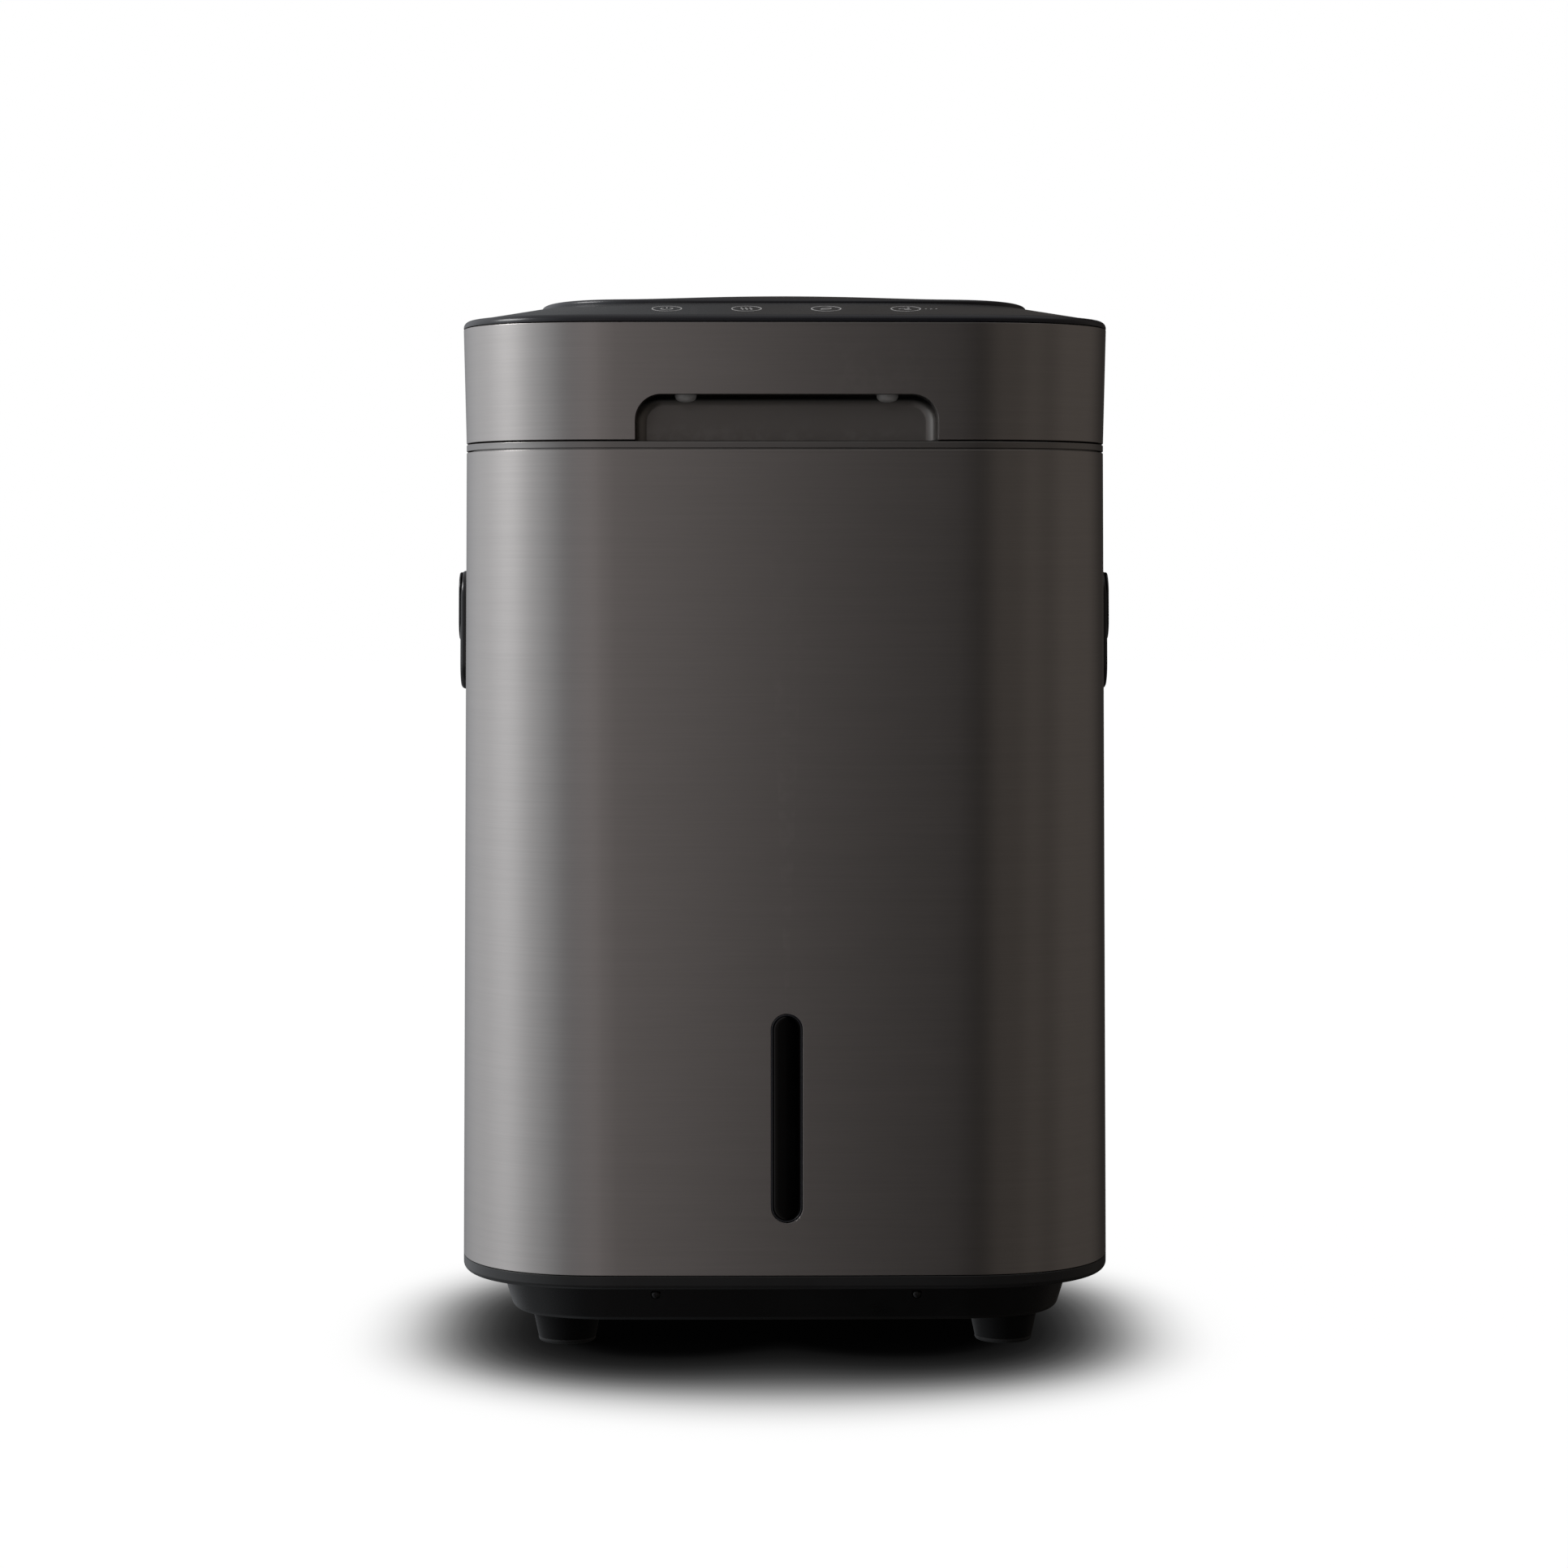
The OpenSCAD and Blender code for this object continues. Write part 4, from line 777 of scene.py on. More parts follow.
@dataclass(frozen=True)
class Brushed(Finish):
    """Brushed metal, with fine lines along one direction."""

    grain: Grain = Grain.LEVEL
    contrast: float = 0.12
    spread: float = 0.035
    depth: float = 0.004 * MM

    def dress(self, graph: Graph, shader: Node) -> None:
        """Draws the brushed lines into the colour, roughness and relief."""
        lines = graph.use(hairline(self.grain))
        self.paint(graph, shader, lines["Tone"], 1 - self.contrast, 1 + self.contrast, 1.5)
        wiped = graph.use(handling())
        lined = ramp(graph, lines["Tone"], 0.0, 1.0, self.roughness - self.spread, self.roughness + self.spread)
        cloudy = graph.math("MULTIPLY", graph.math("SUBTRACT", lines["Cloud"], 0.5), 3 * self.spread)
        smeared = graph.math("MULTIPLY", wiped["Smear"], self.spread)
        graph.join(graph.math("ADD", graph.math("ADD", lined, cloudy), smeared), shader.inputs["Roughness"])
        self.relief(graph, lines["Height"], shader, 0.35, self.depth)
        if self.anisotropic > 0:
            shader.inputs["Anisotropic Rotation"].default_value = 0.25
            around = graph.add("ShaderNodeTangent", direction_type="RADIAL", axis="Z")
            graph.join(around.outputs[0], shader.inputs["Tangent"])


@dataclass(frozen=True)
class Moulded(Finish):
    """Moulded plastic with a spark-eroded texture."""

    depth: float = 0.02 * MM
    strength: float = 0.3

    def dress(self, graph: Graph, shader: Node) -> None:
        """Draws the mould's texture into the relief, with slow changes of tone."""
        texture = graph.use(mould_texture())
        self.paint(graph, shader, texture["Tone"], 0.9, 1.1, 2.2)
        wiped = graph.use(handling())
        spread = ramp(graph, wiped["Smear"], 0.0, 1.0, self.roughness - 0.05, self.roughness + 0.06)
        graph.join(spread, shader.inputs["Roughness"])
        self.relief(graph, texture["Height"], shader, self.strength, self.depth)


@dataclass(frozen=True)
class ShadedUnderside(Moulded):
    """Satin painted plastic, with painted shade: black and not metallic where it faces down."""

    def dress(self, graph: Graph, shader: Node) -> None:
        """Draws the paint, then paints shade over the faces that look down."""
        super().dress(graph, shader)
        painted = shader.inputs["Base Color"].links[0].from_socket
        # Painted shade: faces that look down, such as the recess's ceiling, turn black and lose their metal.
        underside_shade = ramp(graph, graph.upward(), -0.25, -0.75)
        graph.join(graph.mix(underside_shade, painted, UNDERSIDE_SHADE_BLACK), shader.inputs["Base Color"])
        graph.join(ramp(graph, underside_shade, 0, 1, self.metallic, 0.0), shader.inputs["Metallic"])


@dataclass(frozen=True)
class Polished(Finish):
    """Glossy plastic or glass, with wiping marks and hair scratches."""

    waviness: float = 0.01 * MM

    def dress(self, graph: Graph, shader: Node) -> None:
        """Draws smears and scratches into the roughness and a slight waviness into the relief."""
        wiped = graph.use(handling())
        self.paint(graph, shader, wiped["Smear"], 0.95, 1.08, 2.5)
        smeared = ramp(graph, wiped["Smear"], 0.0, 1.0, self.roughness - 0.02, self.roughness + 0.05)
        scratched = graph.math("MULTIPLY", wiped["Scratch"], 0.12)
        graph.join(graph.math("ADD", smeared, scratched), shader.inputs["Roughness"])
        self.relief(graph, noise(graph, 40, 2), shader, 0.15, self.waviness)


@dataclass(frozen=True)
class Cast(Finish):
    """Blasted or zinc plated metal, cloudy and slightly rough."""

    depth: float = 0.03 * MM
    strength: float = 0.3
    cloud: float = 70
    shades: Point3 = (0.85, 1.12, 1.25)
    spread: Point2 = (0.07, 0.07)
    pits: Point2 = (1100, 3)

    def dress(self, graph: Graph, shader: Node) -> None:
        """Draws a pitted skin and a cloudy tone."""
        cloud = noise(graph, self.cloud, 5)
        self.paint(graph, shader, cloud, *self.shades)
        rough = ramp(graph, cloud, 0.3, 0.7, self.roughness - self.spread[0], self.roughness + self.spread[1])
        graph.join(rough, shader.inputs["Roughness"])
        self.relief(graph, noise(graph, *self.pits), shader, self.strength, self.depth)


@dataclass(frozen=True)
class Soft(Cast):
    """Rubber, silicone or a heating mat: matt, with a fine bloom."""

    strength: float = 0.35
    cloud: float = 55
    shades: Point3 = (0.82, 1.2, 1.5)
    spread: Point2 = (0.06, 0.08)
    pits: Point2 = (1400, 4)


@dataclass(frozen=True)
class Granular(Finish):
    """Carbon granules behind a mesh: lumps, with painted shade in the gaps between them."""

    grain_size: float = 2.2 * MM

    def dress(self, graph: Graph, shader: Node) -> None:
        """Draws the granules into the relief, and into the colour with painted shade in the gaps."""
        settings = {"Vector": graph.place_of(), "Scale": 1 / self.grain_size}
        cells = graph.add("ShaderNodeTexVoronoi", settings, feature="F1")
        lump = ramp(graph, cells.outputs["Distance"], 0.75, 0.1)
        # Painted shade: the gaps between granules are darker than the lumps.
        self.paint(graph, shader, lump, 0.35, 1.5)
        self.relief(graph, lump, shader, 0.9, 0.6 * MM)


@dataclass(frozen=True)
class Circuit(Finish):
    """Solder mask with copper tracks showing through."""

    pitch: float = 2.5 * MM

    def dress(self, graph: Graph, shader: Node) -> None:
        """Draws tracks as lines between cells into the colour and relief."""
        settings = {"Vector": graph.place_of(), "Scale": 1 / self.pitch, "Randomness": 0.75}
        cells = graph.add("ShaderNodeTexVoronoi", settings, feature="F1", distance="CHEBYCHEV")
        track = ramp(graph, cells.outputs["Distance"], 0.40, 0.46)
        self.paint(graph, shader, track, 1.0, 1.9, 1.4)
        self.relief(graph, track, shader, 0.4, 0.04 * MM)


class Look:
    """The finishes of this object."""

    SHELL = Brushed("titanium_shell", "shell_metal", (0.431, 0.409, 0.392), 0.30, metallic=1.0, anisotropic=0.3,
                    highlight_and_wear=0.12, dust=0.02, contrast=0.035, spread=0.003, depth=0.0004 * MM)
    RIM = Brushed("rim_metal", "rim_grey", (0.29, 0.28, 0.27), 0.30, metallic=1.0, highlight_and_wear=0.1, dust=0.02,
                  contrast=0.04, spread=0.006, depth=0.0006 * MM)
    TRIM = Moulded("black_trim", "trim_black", (0.006, 0.006, 0.006), 0.30, specular=0.4, highlight_and_wear=0.2, dust=0.012)
    FOOT = Moulded("foot_black", "trim_black", (0.006, 0.006, 0.006), 0.5, specular=0.15, highlight_and_wear=0.15, dust=0.01)
    RING = Moulded("ring_satin", "trim_black", (0.012, 0.012, 0.012), 0.33, highlight_and_wear=0.15, dust=0.012)
    GLOSS = Polished("gloss_black", "gloss_black", (0.006, 0.006, 0.007), 0.11, specular=0.55, coat=0.4, dust=0.015)
    GLASS = Polished("window_glass", "gloss_black", (0.001, 0.001, 0.001), 0.04, specular=0.45, highlight_and_wear=0.0, dust=0.0)
    DECK = Polished("deck_panel", "deck_grey", (0.055, 0.055, 0.056), 0.24, coat=0.15, highlight_and_wear=0.2, dust=0.03)
    DARK = Moulded("dark_plastic", "dark_plastic", (0.022, 0.022, 0.023), 0.34, highlight_and_wear=0.3, dust=0.04)
    # The recess carries painted shade on its down-facing ceiling.
    CUP = ShadedUnderside("recess_satin", "dark_plastic", (0.27, 0.255, 0.24), 0.36, metallic=0.9, highlight_and_wear=0.1, dust=0.02,
                    depth=0.004 * MM)
    # Painted shade: the pan screws' colour is darkened to stand in for the shade below the ring.
    SCREW = Cast("blackened_screw", "plated_steel", (0.05, 0.05, 0.05), 0.42, metallic=1.0, dust=0.01)
    GRIP = Polished("grip_black", "dark_plastic", (0.010, 0.010, 0.011), 0.20, specular=0.5, highlight_and_wear=0.25, dust=0.02)
    STEEL = Brushed("tank_steel", "stainless_steel", (0.60, 0.60, 0.59), 0.26, metallic=1.0, grain=Grain.LENGTHWISE,
                    spread=0.012, highlight_and_wear=0.2)
    PLATED = Cast("zinc_plated", "plated_steel", (0.56, 0.56, 0.57), 0.32, metallic=1.0)
    CASTING = Cast("blasted_aluminium", "cast_aluminium", (0.62, 0.62, 0.63), 0.42, metallic=1.0)
    RUBBER = Soft("foot_rubber", "rubber_black", (0.009, 0.009, 0.009), 0.62, dust=0.015)
    SILICONE = Soft("seal_silicone", "silicone_grey", (0.36, 0.36, 0.37), 0.5)
    NYLON = Moulded("natural_nylon", "nylon_ivory", (0.74, 0.71, 0.63), 0.45, depth=0.01 * MM)
    BOARD = Circuit("solder_mask", "circuit_green", (0.02, 0.13, 0.06), 0.35)
    BRASS = Cast("turned_brass", "brass", (0.70, 0.50, 0.21), 0.28, metallic=1.0, depth=0.01 * MM)
    CARBON = Granular("carbon_granules", "carbon_black", (0.03, 0.03, 0.032), 0.6)
    PLUG = Soft("grey_plug", "plug_grey", (0.40, 0.385, 0.37), 0.5)
    HEATER = Soft("heating_mat", "heater_orange", (0.50, 0.17, 0.04), 0.55)
    MARK = Moulded("panel_print", "plug_grey", (0.62, 0.61, 0.60), 0.4, highlight_and_wear=0.0, dust=0.0)


def dress(piece: Body, finish: Finish, body: str, *nodes: str) -> Body:
    """Gives a finished piece its material and body, and hides the CAD nodes that it stands for.

    Args:
        piece: The piece, in place.
        finish: Its finish.
        body: The CAD body that it rides on.
        nodes: CAD nodes that it replaces.

    Returns:
        The same piece.
    """
    piece.data.materials.clear()
    piece.data.materials.append(finish.material())
    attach(piece, body)
    if nodes:
        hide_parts(*nodes)
    LOG.info("%s: %d faces, %s", piece.name, len(piece.data.polygons), finish.name)
    return piece


# ---- the cabinet's outside


@dataclass(frozen=True)
class Form:
    """Outline and heights that the outer pieces share, as the construction has them."""

    width: float = 333.4 * MM
    depth: float = 375 * MM
    corner: float = 68 * MM
    bow: float = 2.5 * MM
    draft: float = 3.5 * MM
    wall: float = 2.5 * MM
    flare: float = 1.2 * MM
    mouth: Point3 = (250 * MM, 220 * MM, 22 * MM)
    mouth_y: float = -20 * MM
    foot: float = low("body_shell").z
    height: float = high("body_shell").z - low("body_shell").z

    @property
    def mouth_at(self) -> Matrix:
        """Frame of the tank's mouth, at height 0."""
        return shift((0, self.mouth_y, 0))

    @property
    def plan(self) -> Outline:
        """Outline of the body at its foot."""
        return Outline(self.width, self.depth, self.corner, self.bow, 32, 16, ease=2.5)

    @property
    def lean_angle(self) -> float:
        """How far the walls lean in, as an angle."""
        return atan(self.draft / self.height)

    def lean(self, z: float) -> float:
        """How far the wall has leant in at a height."""
        return self.draft * (z - self.foot) / self.height

    def on_front(self, z: float) -> Matrix:
        """Frame on the front wall: X right, Y up the wall, Z outwards."""
        turn = Matrix.Rotation(pi / 2 - self.lean_angle, 4, "X")
        return shift((0, self.lean(z) - self.depth / 2, z)) @ turn

    def on_side(self, side: int, z: float) -> Matrix:
        """Frame on a side wall: X to the back, Y up the wall, Z outwards."""
        turn = rotate("Z") @ Matrix.Rotation(pi / 2 - self.lean_angle, 4, "X")
        moved = shift((self.width / 2 - self.lean(z), 0, z)) @ turn
        return Matrix.Diagonal((side, 1, 1, 1)) @ moved


FORM = Form()


def across(x: float, y: float, z: float, backwards: bool = True) -> Matrix:
    """Frame of a wall that faces the back or the front: X right, Y up, Z out of the wall."""
    out = 1 if backwards else -1
    return Matrix(((1, 0, 0, x), (0, 0, out, y), (0, 1, 0, z), (0, 0, 0, 1)))


def lengthwise(y: float, z: float) -> Matrix:
    """Frame along the object's width: X to the back, Y up, Z to the right."""
    return Matrix(((0, 0, 1, 0), (1, 0, 0, y), (0, 1, 0, z), (0, 0, 0, 1)))


@dataclass
class Cabinet:
    """Body shell, its trim ring, base pan, feet and rim band."""

    ring_round: float = 2.5 * MM
    pan_inset: float = 19.5 * MM
    pan_wall: float = 3 * MM
    foot_radius: float = 17.5 * MM
    foot_taper: float = 2.8 * MM
    pad_height: float = 2.4 * MM
    screw_radius: float = 2.0 * MM

    def build(self) -> None:
        """Builds and dresses every piece."""
        dress(self.shell(), Look.SHELL, "cabinet", "body_shell")
        dress(self.ring(), Look.RING, "cabinet", "base_ring")
        dress(self.pan(), Look.TRIM, "cabinet", "base_pan")
        dress(self.feet(), Look.FOOT, "cabinet", "feet")
        dress(self.pads(), Look.RUBBER, "cabinet", "foot_pads")
        dress(self.screws(), Look.SCREW, "cabinet", "pan_screws")
        dress(self.rim(), Look.RIM, "cabinet", "rim_frame")

    def shell(self) -> Body:
        """The cabinet's skin, with its openings and rolled edges."""
        foot, top, wall, draft = FORM.foot, FORM.foot + FORM.height, FORM.wall, FORM.draft
        section = [(0, foot), (draft, top), (draft + wall, top), (wall, foot)]
        made = sweep("shell", FORM.plan, fillet([(*point, 0.3 * MM) for point in section], steps=3))
        for tool in self.shell_tools():
            shape(made, tool)
        return soften(made, 0.15 * MM, 34, 3)

    def shell_tools(self) -> Iterable[Body]:
        """Bodies that cut the window, the handle pockets and the back opening."""
        window = SensorWindow()
        slot = lengthen(rectangle(window.width + 2 * window.bezel, window.height + 2 * window.bezel,
                                  window.width / 2 + window.bezel, 14), 20 * MM)
        yield place(prism("window_cut", slot, -8 * MM, 8 * MM), window.frame_at)
        for side in (-1, 1):
            handle = Handle(side)
            outline = rectangle(handle.cup_length + MM, handle.cup_height + MM, 8 * MM)
            hole = prism("pocket_cut", outline, -12 * MM, 12 * MM)
            hole.data.transform(shift((handle.middle, MM + handle.cup_height / 2, 0)))
            yield place(hole, FORM.on_side(side, handle.level))
        panel = BackPanel()
        back = prism("back_cut", rectangle(panel.width, panel.height, 1.5 * MM, 4), -30 * MM, 12 * MM)
        yield place(back, across(0, FORM.depth / 2, panel.foot + panel.height / 2))

    def ring(self) -> Body:
        """The black ring under the shell, rolled in at its lower edge."""
        foot, top = (corner.z for corner in corners("base_ring"))
        inner, shell, ledge = self.pan_inset + 6 * MM, FORM.wall + MM, foot + 3 * MM
        turn = [(self.ring_round * (1 - cos(a)), foot + self.ring_round * (1 - sin(a)))
                for a in angles(10, 9, 0)]
        section = turn + [(0.0, top - 0.3 * MM), (0.3 * MM, top), (shell, top), (shell, ledge), (inner, ledge),
                          (inner, foot)]
        return soften(sweep("trim_ring", FORM.plan, section), 0, 34)

    def pan(self) -> Body:
        """The base pan, an open tray with a soft step and a rolled lower edge."""
        foot, top = (corner.z for corner in corners("base_pan"))
        inset, wall = self.pan_inset, self.pan_wall
        outside = [(inset + 18 * MM, foot, 0), (inset + 6.4 * MM, foot, 3.6 * MM), (inset, top, 0)]
        inner = inset + wall
        inside = [(inner, top), (inner + 6 * MM, foot + wall + MM), (inner + 9 * MM, foot + wall)]
        made = sweep("base_tray", FORM.plan, fillet(outside, closed=False, steps=8) + inside, closed=False)
        for column in (-1, 1):
            seat = turned_rod("screw_seat", self.screw_radius + 0.6 * MM, -3 * MM, 1.0 * MM, 0.1 * MM)
            shape(made, place(seat, self.screw_frame(column)))
        return soften(made, 0.3 * MM, 36, 2)

    def screw_frame(self, side: int) -> Matrix:
        """Frame of a screw in the pan's front wall, with Z outwards."""
        x = high("pan_screws").x - self.screw_radius
        return across(side * x, low("pan_screws").y + 1.6 * MM, mid_z("pan_screws"), backwards=False)

    def feet(self) -> Body:
        """Four tapered feet with rounded shoulders, repeated from one."""
        start, stop = (corner.z for corner in corners("feet"))
        wide = self.foot_radius
        section = [(3 * MM, start, 0), (wide - self.foot_taper, start, 0.15 * MM),
                   (wide - 0.5 * MM, stop - 3.5 * MM, 3 * MM), (wide + MM, stop, 0), (6 * MM, stop, 0)]
        one = soften(lathe("cabinet_feet", fillet(section, closed=False, steps=6), 72), 0, 34)
        return self.at_feet("feet").of(baked(one))

    def pads(self) -> Body:
        """Four ribbed rubber pads, repeated from one."""
        start, radius = low("foot_pads").z, self.foot_radius - self.foot_taper
        top, turn = start + self.pad_height, 1.6 * MM
        flat = radius - turn
        rings = [(flat - (1.4 if i % 4 in (1, 2) else 0.8) * MM * i, start + (0.5 * MM if i % 4 in (1, 2) else 0))
                 for i in range(8)]
        edge = [(flat + turn * sin(a), start + turn * (1 - cos(a))) for a in angles(15, 1, 6)]
        profile = rings[::-1] + edge + [(radius, top - 0.1 * MM), (radius - 0.1 * MM, top),
                                        (2.9 * MM, top), (2.9 * MM, top + 3.6 * MM), (2.2 * MM, top + 4 * MM)]
        one = soften(lathe("rubber_pads", profile, 56), 0, 40)
        return self.at_feet("foot_pads").of(baked(one))

    def at_feet(self, node: str) -> Rows:
        """The four places of the feet."""
        radius = self.foot_radius - (self.foot_taper if node == "foot_pads" else 0)
        gap_x, gap_y = 2 * (high(node).x - radius), 2 * (high(node).y - radius)
        return Rows(2, 2, gap_x, gap_y)

    def screws(self) -> Body:
        """Two cross-recessed screws in the pan's front wall, repeated from one."""
        one = screw("pan_wall_screws", self.screw_radius, 1.6 * MM, 1.6 * MM, 7 * MM)
        frame_at = self.screw_frame(1)
        right = frame_at.translation
        place(one, rotate("X"))
        return Rows(2, 1, 2 * right.x, 0, (0, right.y, right.z)).of(one)

    def rim(self) -> Body:
        """The rim band: a rounded plate with the tank's mouth, and a skirt inside the shell."""
        top, under = high("rim_frame").z, high("rim_frame").z - 3.3 * MM
        edge = FORM.draft
        inset = edge + 6 * MM
        outside = [(inset, under, 0), (edge, under, 0.3 * MM), (edge, top, 0.35 * MM), (inset, top, 0)]
        made = sweep("rim_band", FORM.plan, fillet(outside, closed=False), closed=False)
        width, depth, radius = FORM.mouth
        carve(made, FORM.mouth_at, rectangle(width, depth, radius, 16), under - MM, top + MM)
        soften(made, 0.6 * MM, 40, 3)
        baked(made)
        inner, foot = edge + FORM.wall + 0.3 * MM, low("rim_frame").z
        section = [(inner, under), (inner, foot), (inner + 2.7 * MM, foot), (inner + 2.7 * MM, under)]
        skirt = sweep("rim_skirt", FORM.plan, section)
        return soften(join("rim", [made, skirt]), 0, 34)


def screw(name: str, radius: float, height: float, recess: float, length: float) -> Body:
    """A cross-recessed screw along Z, whose head stands on Z = 0.

    Args:
        name: Name of the object.
        radius: Radius of the head.
        height: Height of the domed head.
        recess: Depth of the cross.
        length: Length of the shank.

    Returns:
        The screw, with its edges softened.
    """
    shank = radius * 0.52
    head = [(radius * sin(a), height * (0.45 + 0.55 * cos(a))) for a in angles(15, 6, 1)]
    profile = [(shank * 0.6, -length), (shank, -length + shank * 0.5), (shank, 0), (radius - 0.1 * MM, 0),
               (radius, 0.1 * MM)]
    made = lathe(name, profile + head, 40)
    for angle in (0.0, 90.0):
        bar = rectangle(radius * 1.2, radius * 0.28, radius * 0.06, 2)
        carve(made, rotate("Z", angle), bar, height - recess * 0.6, height + MM)
    return baked(soften(made, 0.08 * MM, 40, 2))


@dataclass
class SensorWindow:
    """The narrow glossy window low on the front, with its bezel."""

    width: float = 13.8 * MM
    height: float = 102.7 * MM
    bezel: float = 1.1 * MM

    def build(self) -> None:
        """Builds and dresses the bezel and the glass."""
        dress(self.ring(), Look.GLOSS, "cabinet", "window_bezel")
        dress(self.glass(), Look.GLASS, "cabinet", "sensor_window")

    @property
    def frame_at(self) -> Matrix:
        """Frame on the front wall at the window's middle."""
        return FORM.on_front(mid_z("window_bezel"))

    def slot(self, grow: float) -> list[Point2]:
        """The window's outline, grown all round."""
        round_ends = rectangle(self.width + 2 * grow, self.height + 2 * grow, self.width / 2 + grow, 20)
        apart = [point for index, point in enumerate(round_ends) if dist(point, round_ends[index - 1]) > 0.01 * MM]
        return lengthen(apart, 8 * MM)

    def ring(self) -> Body:
        """The bezel, with a rounded lip and a flange behind the shell."""
        grow = self.bezel - 0.1 * MM
        top, under, wide, foot = -0.05 * MM, -3.5 * MM, 4.5 * MM, -5.2 * MM
        profile = fillet([(0, foot, 0), (0, top, 0.25 * MM), (grow, top, 0.5 * MM), (grow, under, 0),
                          (wide, under, 0), (wide, foot, 0)])
        made = skin("bezel", [offset_ring(self.slot(0), -out, z) for out, z in profile], around=True)
        soften(made, 0.06 * MM, 40, 2)
        return place(made, self.frame_at)

    def glass(self) -> Body:
        """The glass, slightly crowned, with a small lens ring near its lower end."""
        crown = ((0, -4.2), (0, -0.35), (0.12, -0.12), (0.4, 0.0), (0.9, 0.03), (2.6, 0.04), (4.6, 0.05),
                 (6.5, 0.055))
        rings = [offset_ring(self.slot(-0.1 * MM), inset * MM, (z - 1.0) * MM) for inset, z in crown]
        made = skin("window_glass", rings)
        lens_at = shift((0.8 * MM, -6.5 * MM, 0))
        section = [(radius * MM, z * MM) for radius, z in ((1.0, -1.2), (1.0, -0.2), (1.35, -0.2), (1.35, -1.2))]
        groove = skin("lens_groove", turned_rings(section, 40), around=True)
        shape(made, place(groove, lens_at))
        soften(made, 0, 50)
        return place(made, self.frame_at)


@dataclass
class Handle:
    """A carrying handle: a frame with a finger pocket, and a grip pad over it."""

    side: int
    length: float = 140 * MM
    height: float = 62 * MM
    out: float = 5.2 * MM
    middle: float = -10 * MM
    pocket_depth: float = 19 * MM
    pocket_height: float = 20 * MM
    pad_height: float = 35.5 * MM
    pad_thickness: float = 0.9 * MM

    @property
    def name(self) -> str:
        """Which handle it is."""
        return "left" if self.side < 0 else "right"

    @property
    def cup_length(self) -> float:
        """Length of the pocket behind the frame."""
        return self.length - 20 * MM

    @property
    def cup_height(self) -> float:
        """Height of the pocket behind the frame."""
        return self.height - 14 * MM

    @property
    def level(self) -> float:
        """Height of the handle's lower edge."""
        return high("body_shell").z - 60 * MM - self.height

    def build(self) -> None:
        """Builds and dresses the frame and its pad."""
        dress(self.frame_piece(), Look.GRIP, "cabinet", f"handle_frame_{self.name}")
        dress(self.pad(), Look.GRIP, "cabinet", f"handle_grip_{self.name}")

    def frame_piece(self) -> Body:
        """The frame, hollowed by the mouth and the wider pocket behind it."""
        outline = rectangle(self.length, self.height, 14 * MM, 12)
        made = prism(f"handle_{self.name}", outline, 0, self.out, edge=2.2 * MM)
        place(made, shift((0, self.height / 2, 0)))
        deep, inner_length, inner_height = self.pocket_depth, self.cup_length - 8 * MM, self.cup_height - 8 * MM
        cup = rectangle(self.cup_length, self.cup_height, 8 * MM, 8)
        carve(made, shift((0, MM + self.cup_height / 2, 0)), cup, -deep, 0.5 * MM, Cut.ADD, foot=3 * MM)
        inner = rectangle(inner_length, inner_height, 6 * MM, 8)
        at = shift((0, 5 * MM + inner_height / 2, 0))
        carve(made, at, inner, -deep + 2 * MM, -2 * MM, edge=1.5 * MM, foot=3 * MM)
        mouth = rectangle(inner_length, self.pocket_height, 9 * MM, 10)
        carve(made, shift((0, 5 * MM + self.pocket_height / 2, 0)), mouth, -deep + 4 * MM, 20 * MM)
        soften(made, 0.8 * MM, 38, 3)
        return place(made, self.frame_at)

    @property
    def frame_at(self) -> Matrix:
        """Frame on the side wall at the handle's lower edge."""
        return FORM.on_side(self.side, self.level) @ shift((self.middle, 0, 0.2 * MM))

    def pad(self) -> Body:
        """The grip pad, crowned across and finely ribbed along its lower edge."""
        outline = lengthen(rectangle(self.length - 3 * MM, self.pad_height, 11 * MM, 12), 6 * MM)
        made = prism(f"grip_pad_{self.name}", outline, 0, self.pad_thickness, edge=0.75 * MM)
        groove = rectangle(self.length - 44 * MM, 0.7 * MM, 0.3 * MM, 3)
        rib = prism("rib", groove, self.pad_thickness - 0.3 * MM, 4 * MM)
        shape(made, Rows(1, 6, 0, 1.9 * MM, (0, -6.5 * MM, 0)).of(rib))
        soften(made, 0.12 * MM, 40, 2)
        level = self.height - 0.8 * MM - self.pad_height / 2
        return place(made, self.frame_at @ shift((0, level, self.out)))


# ---- the cabinet's back


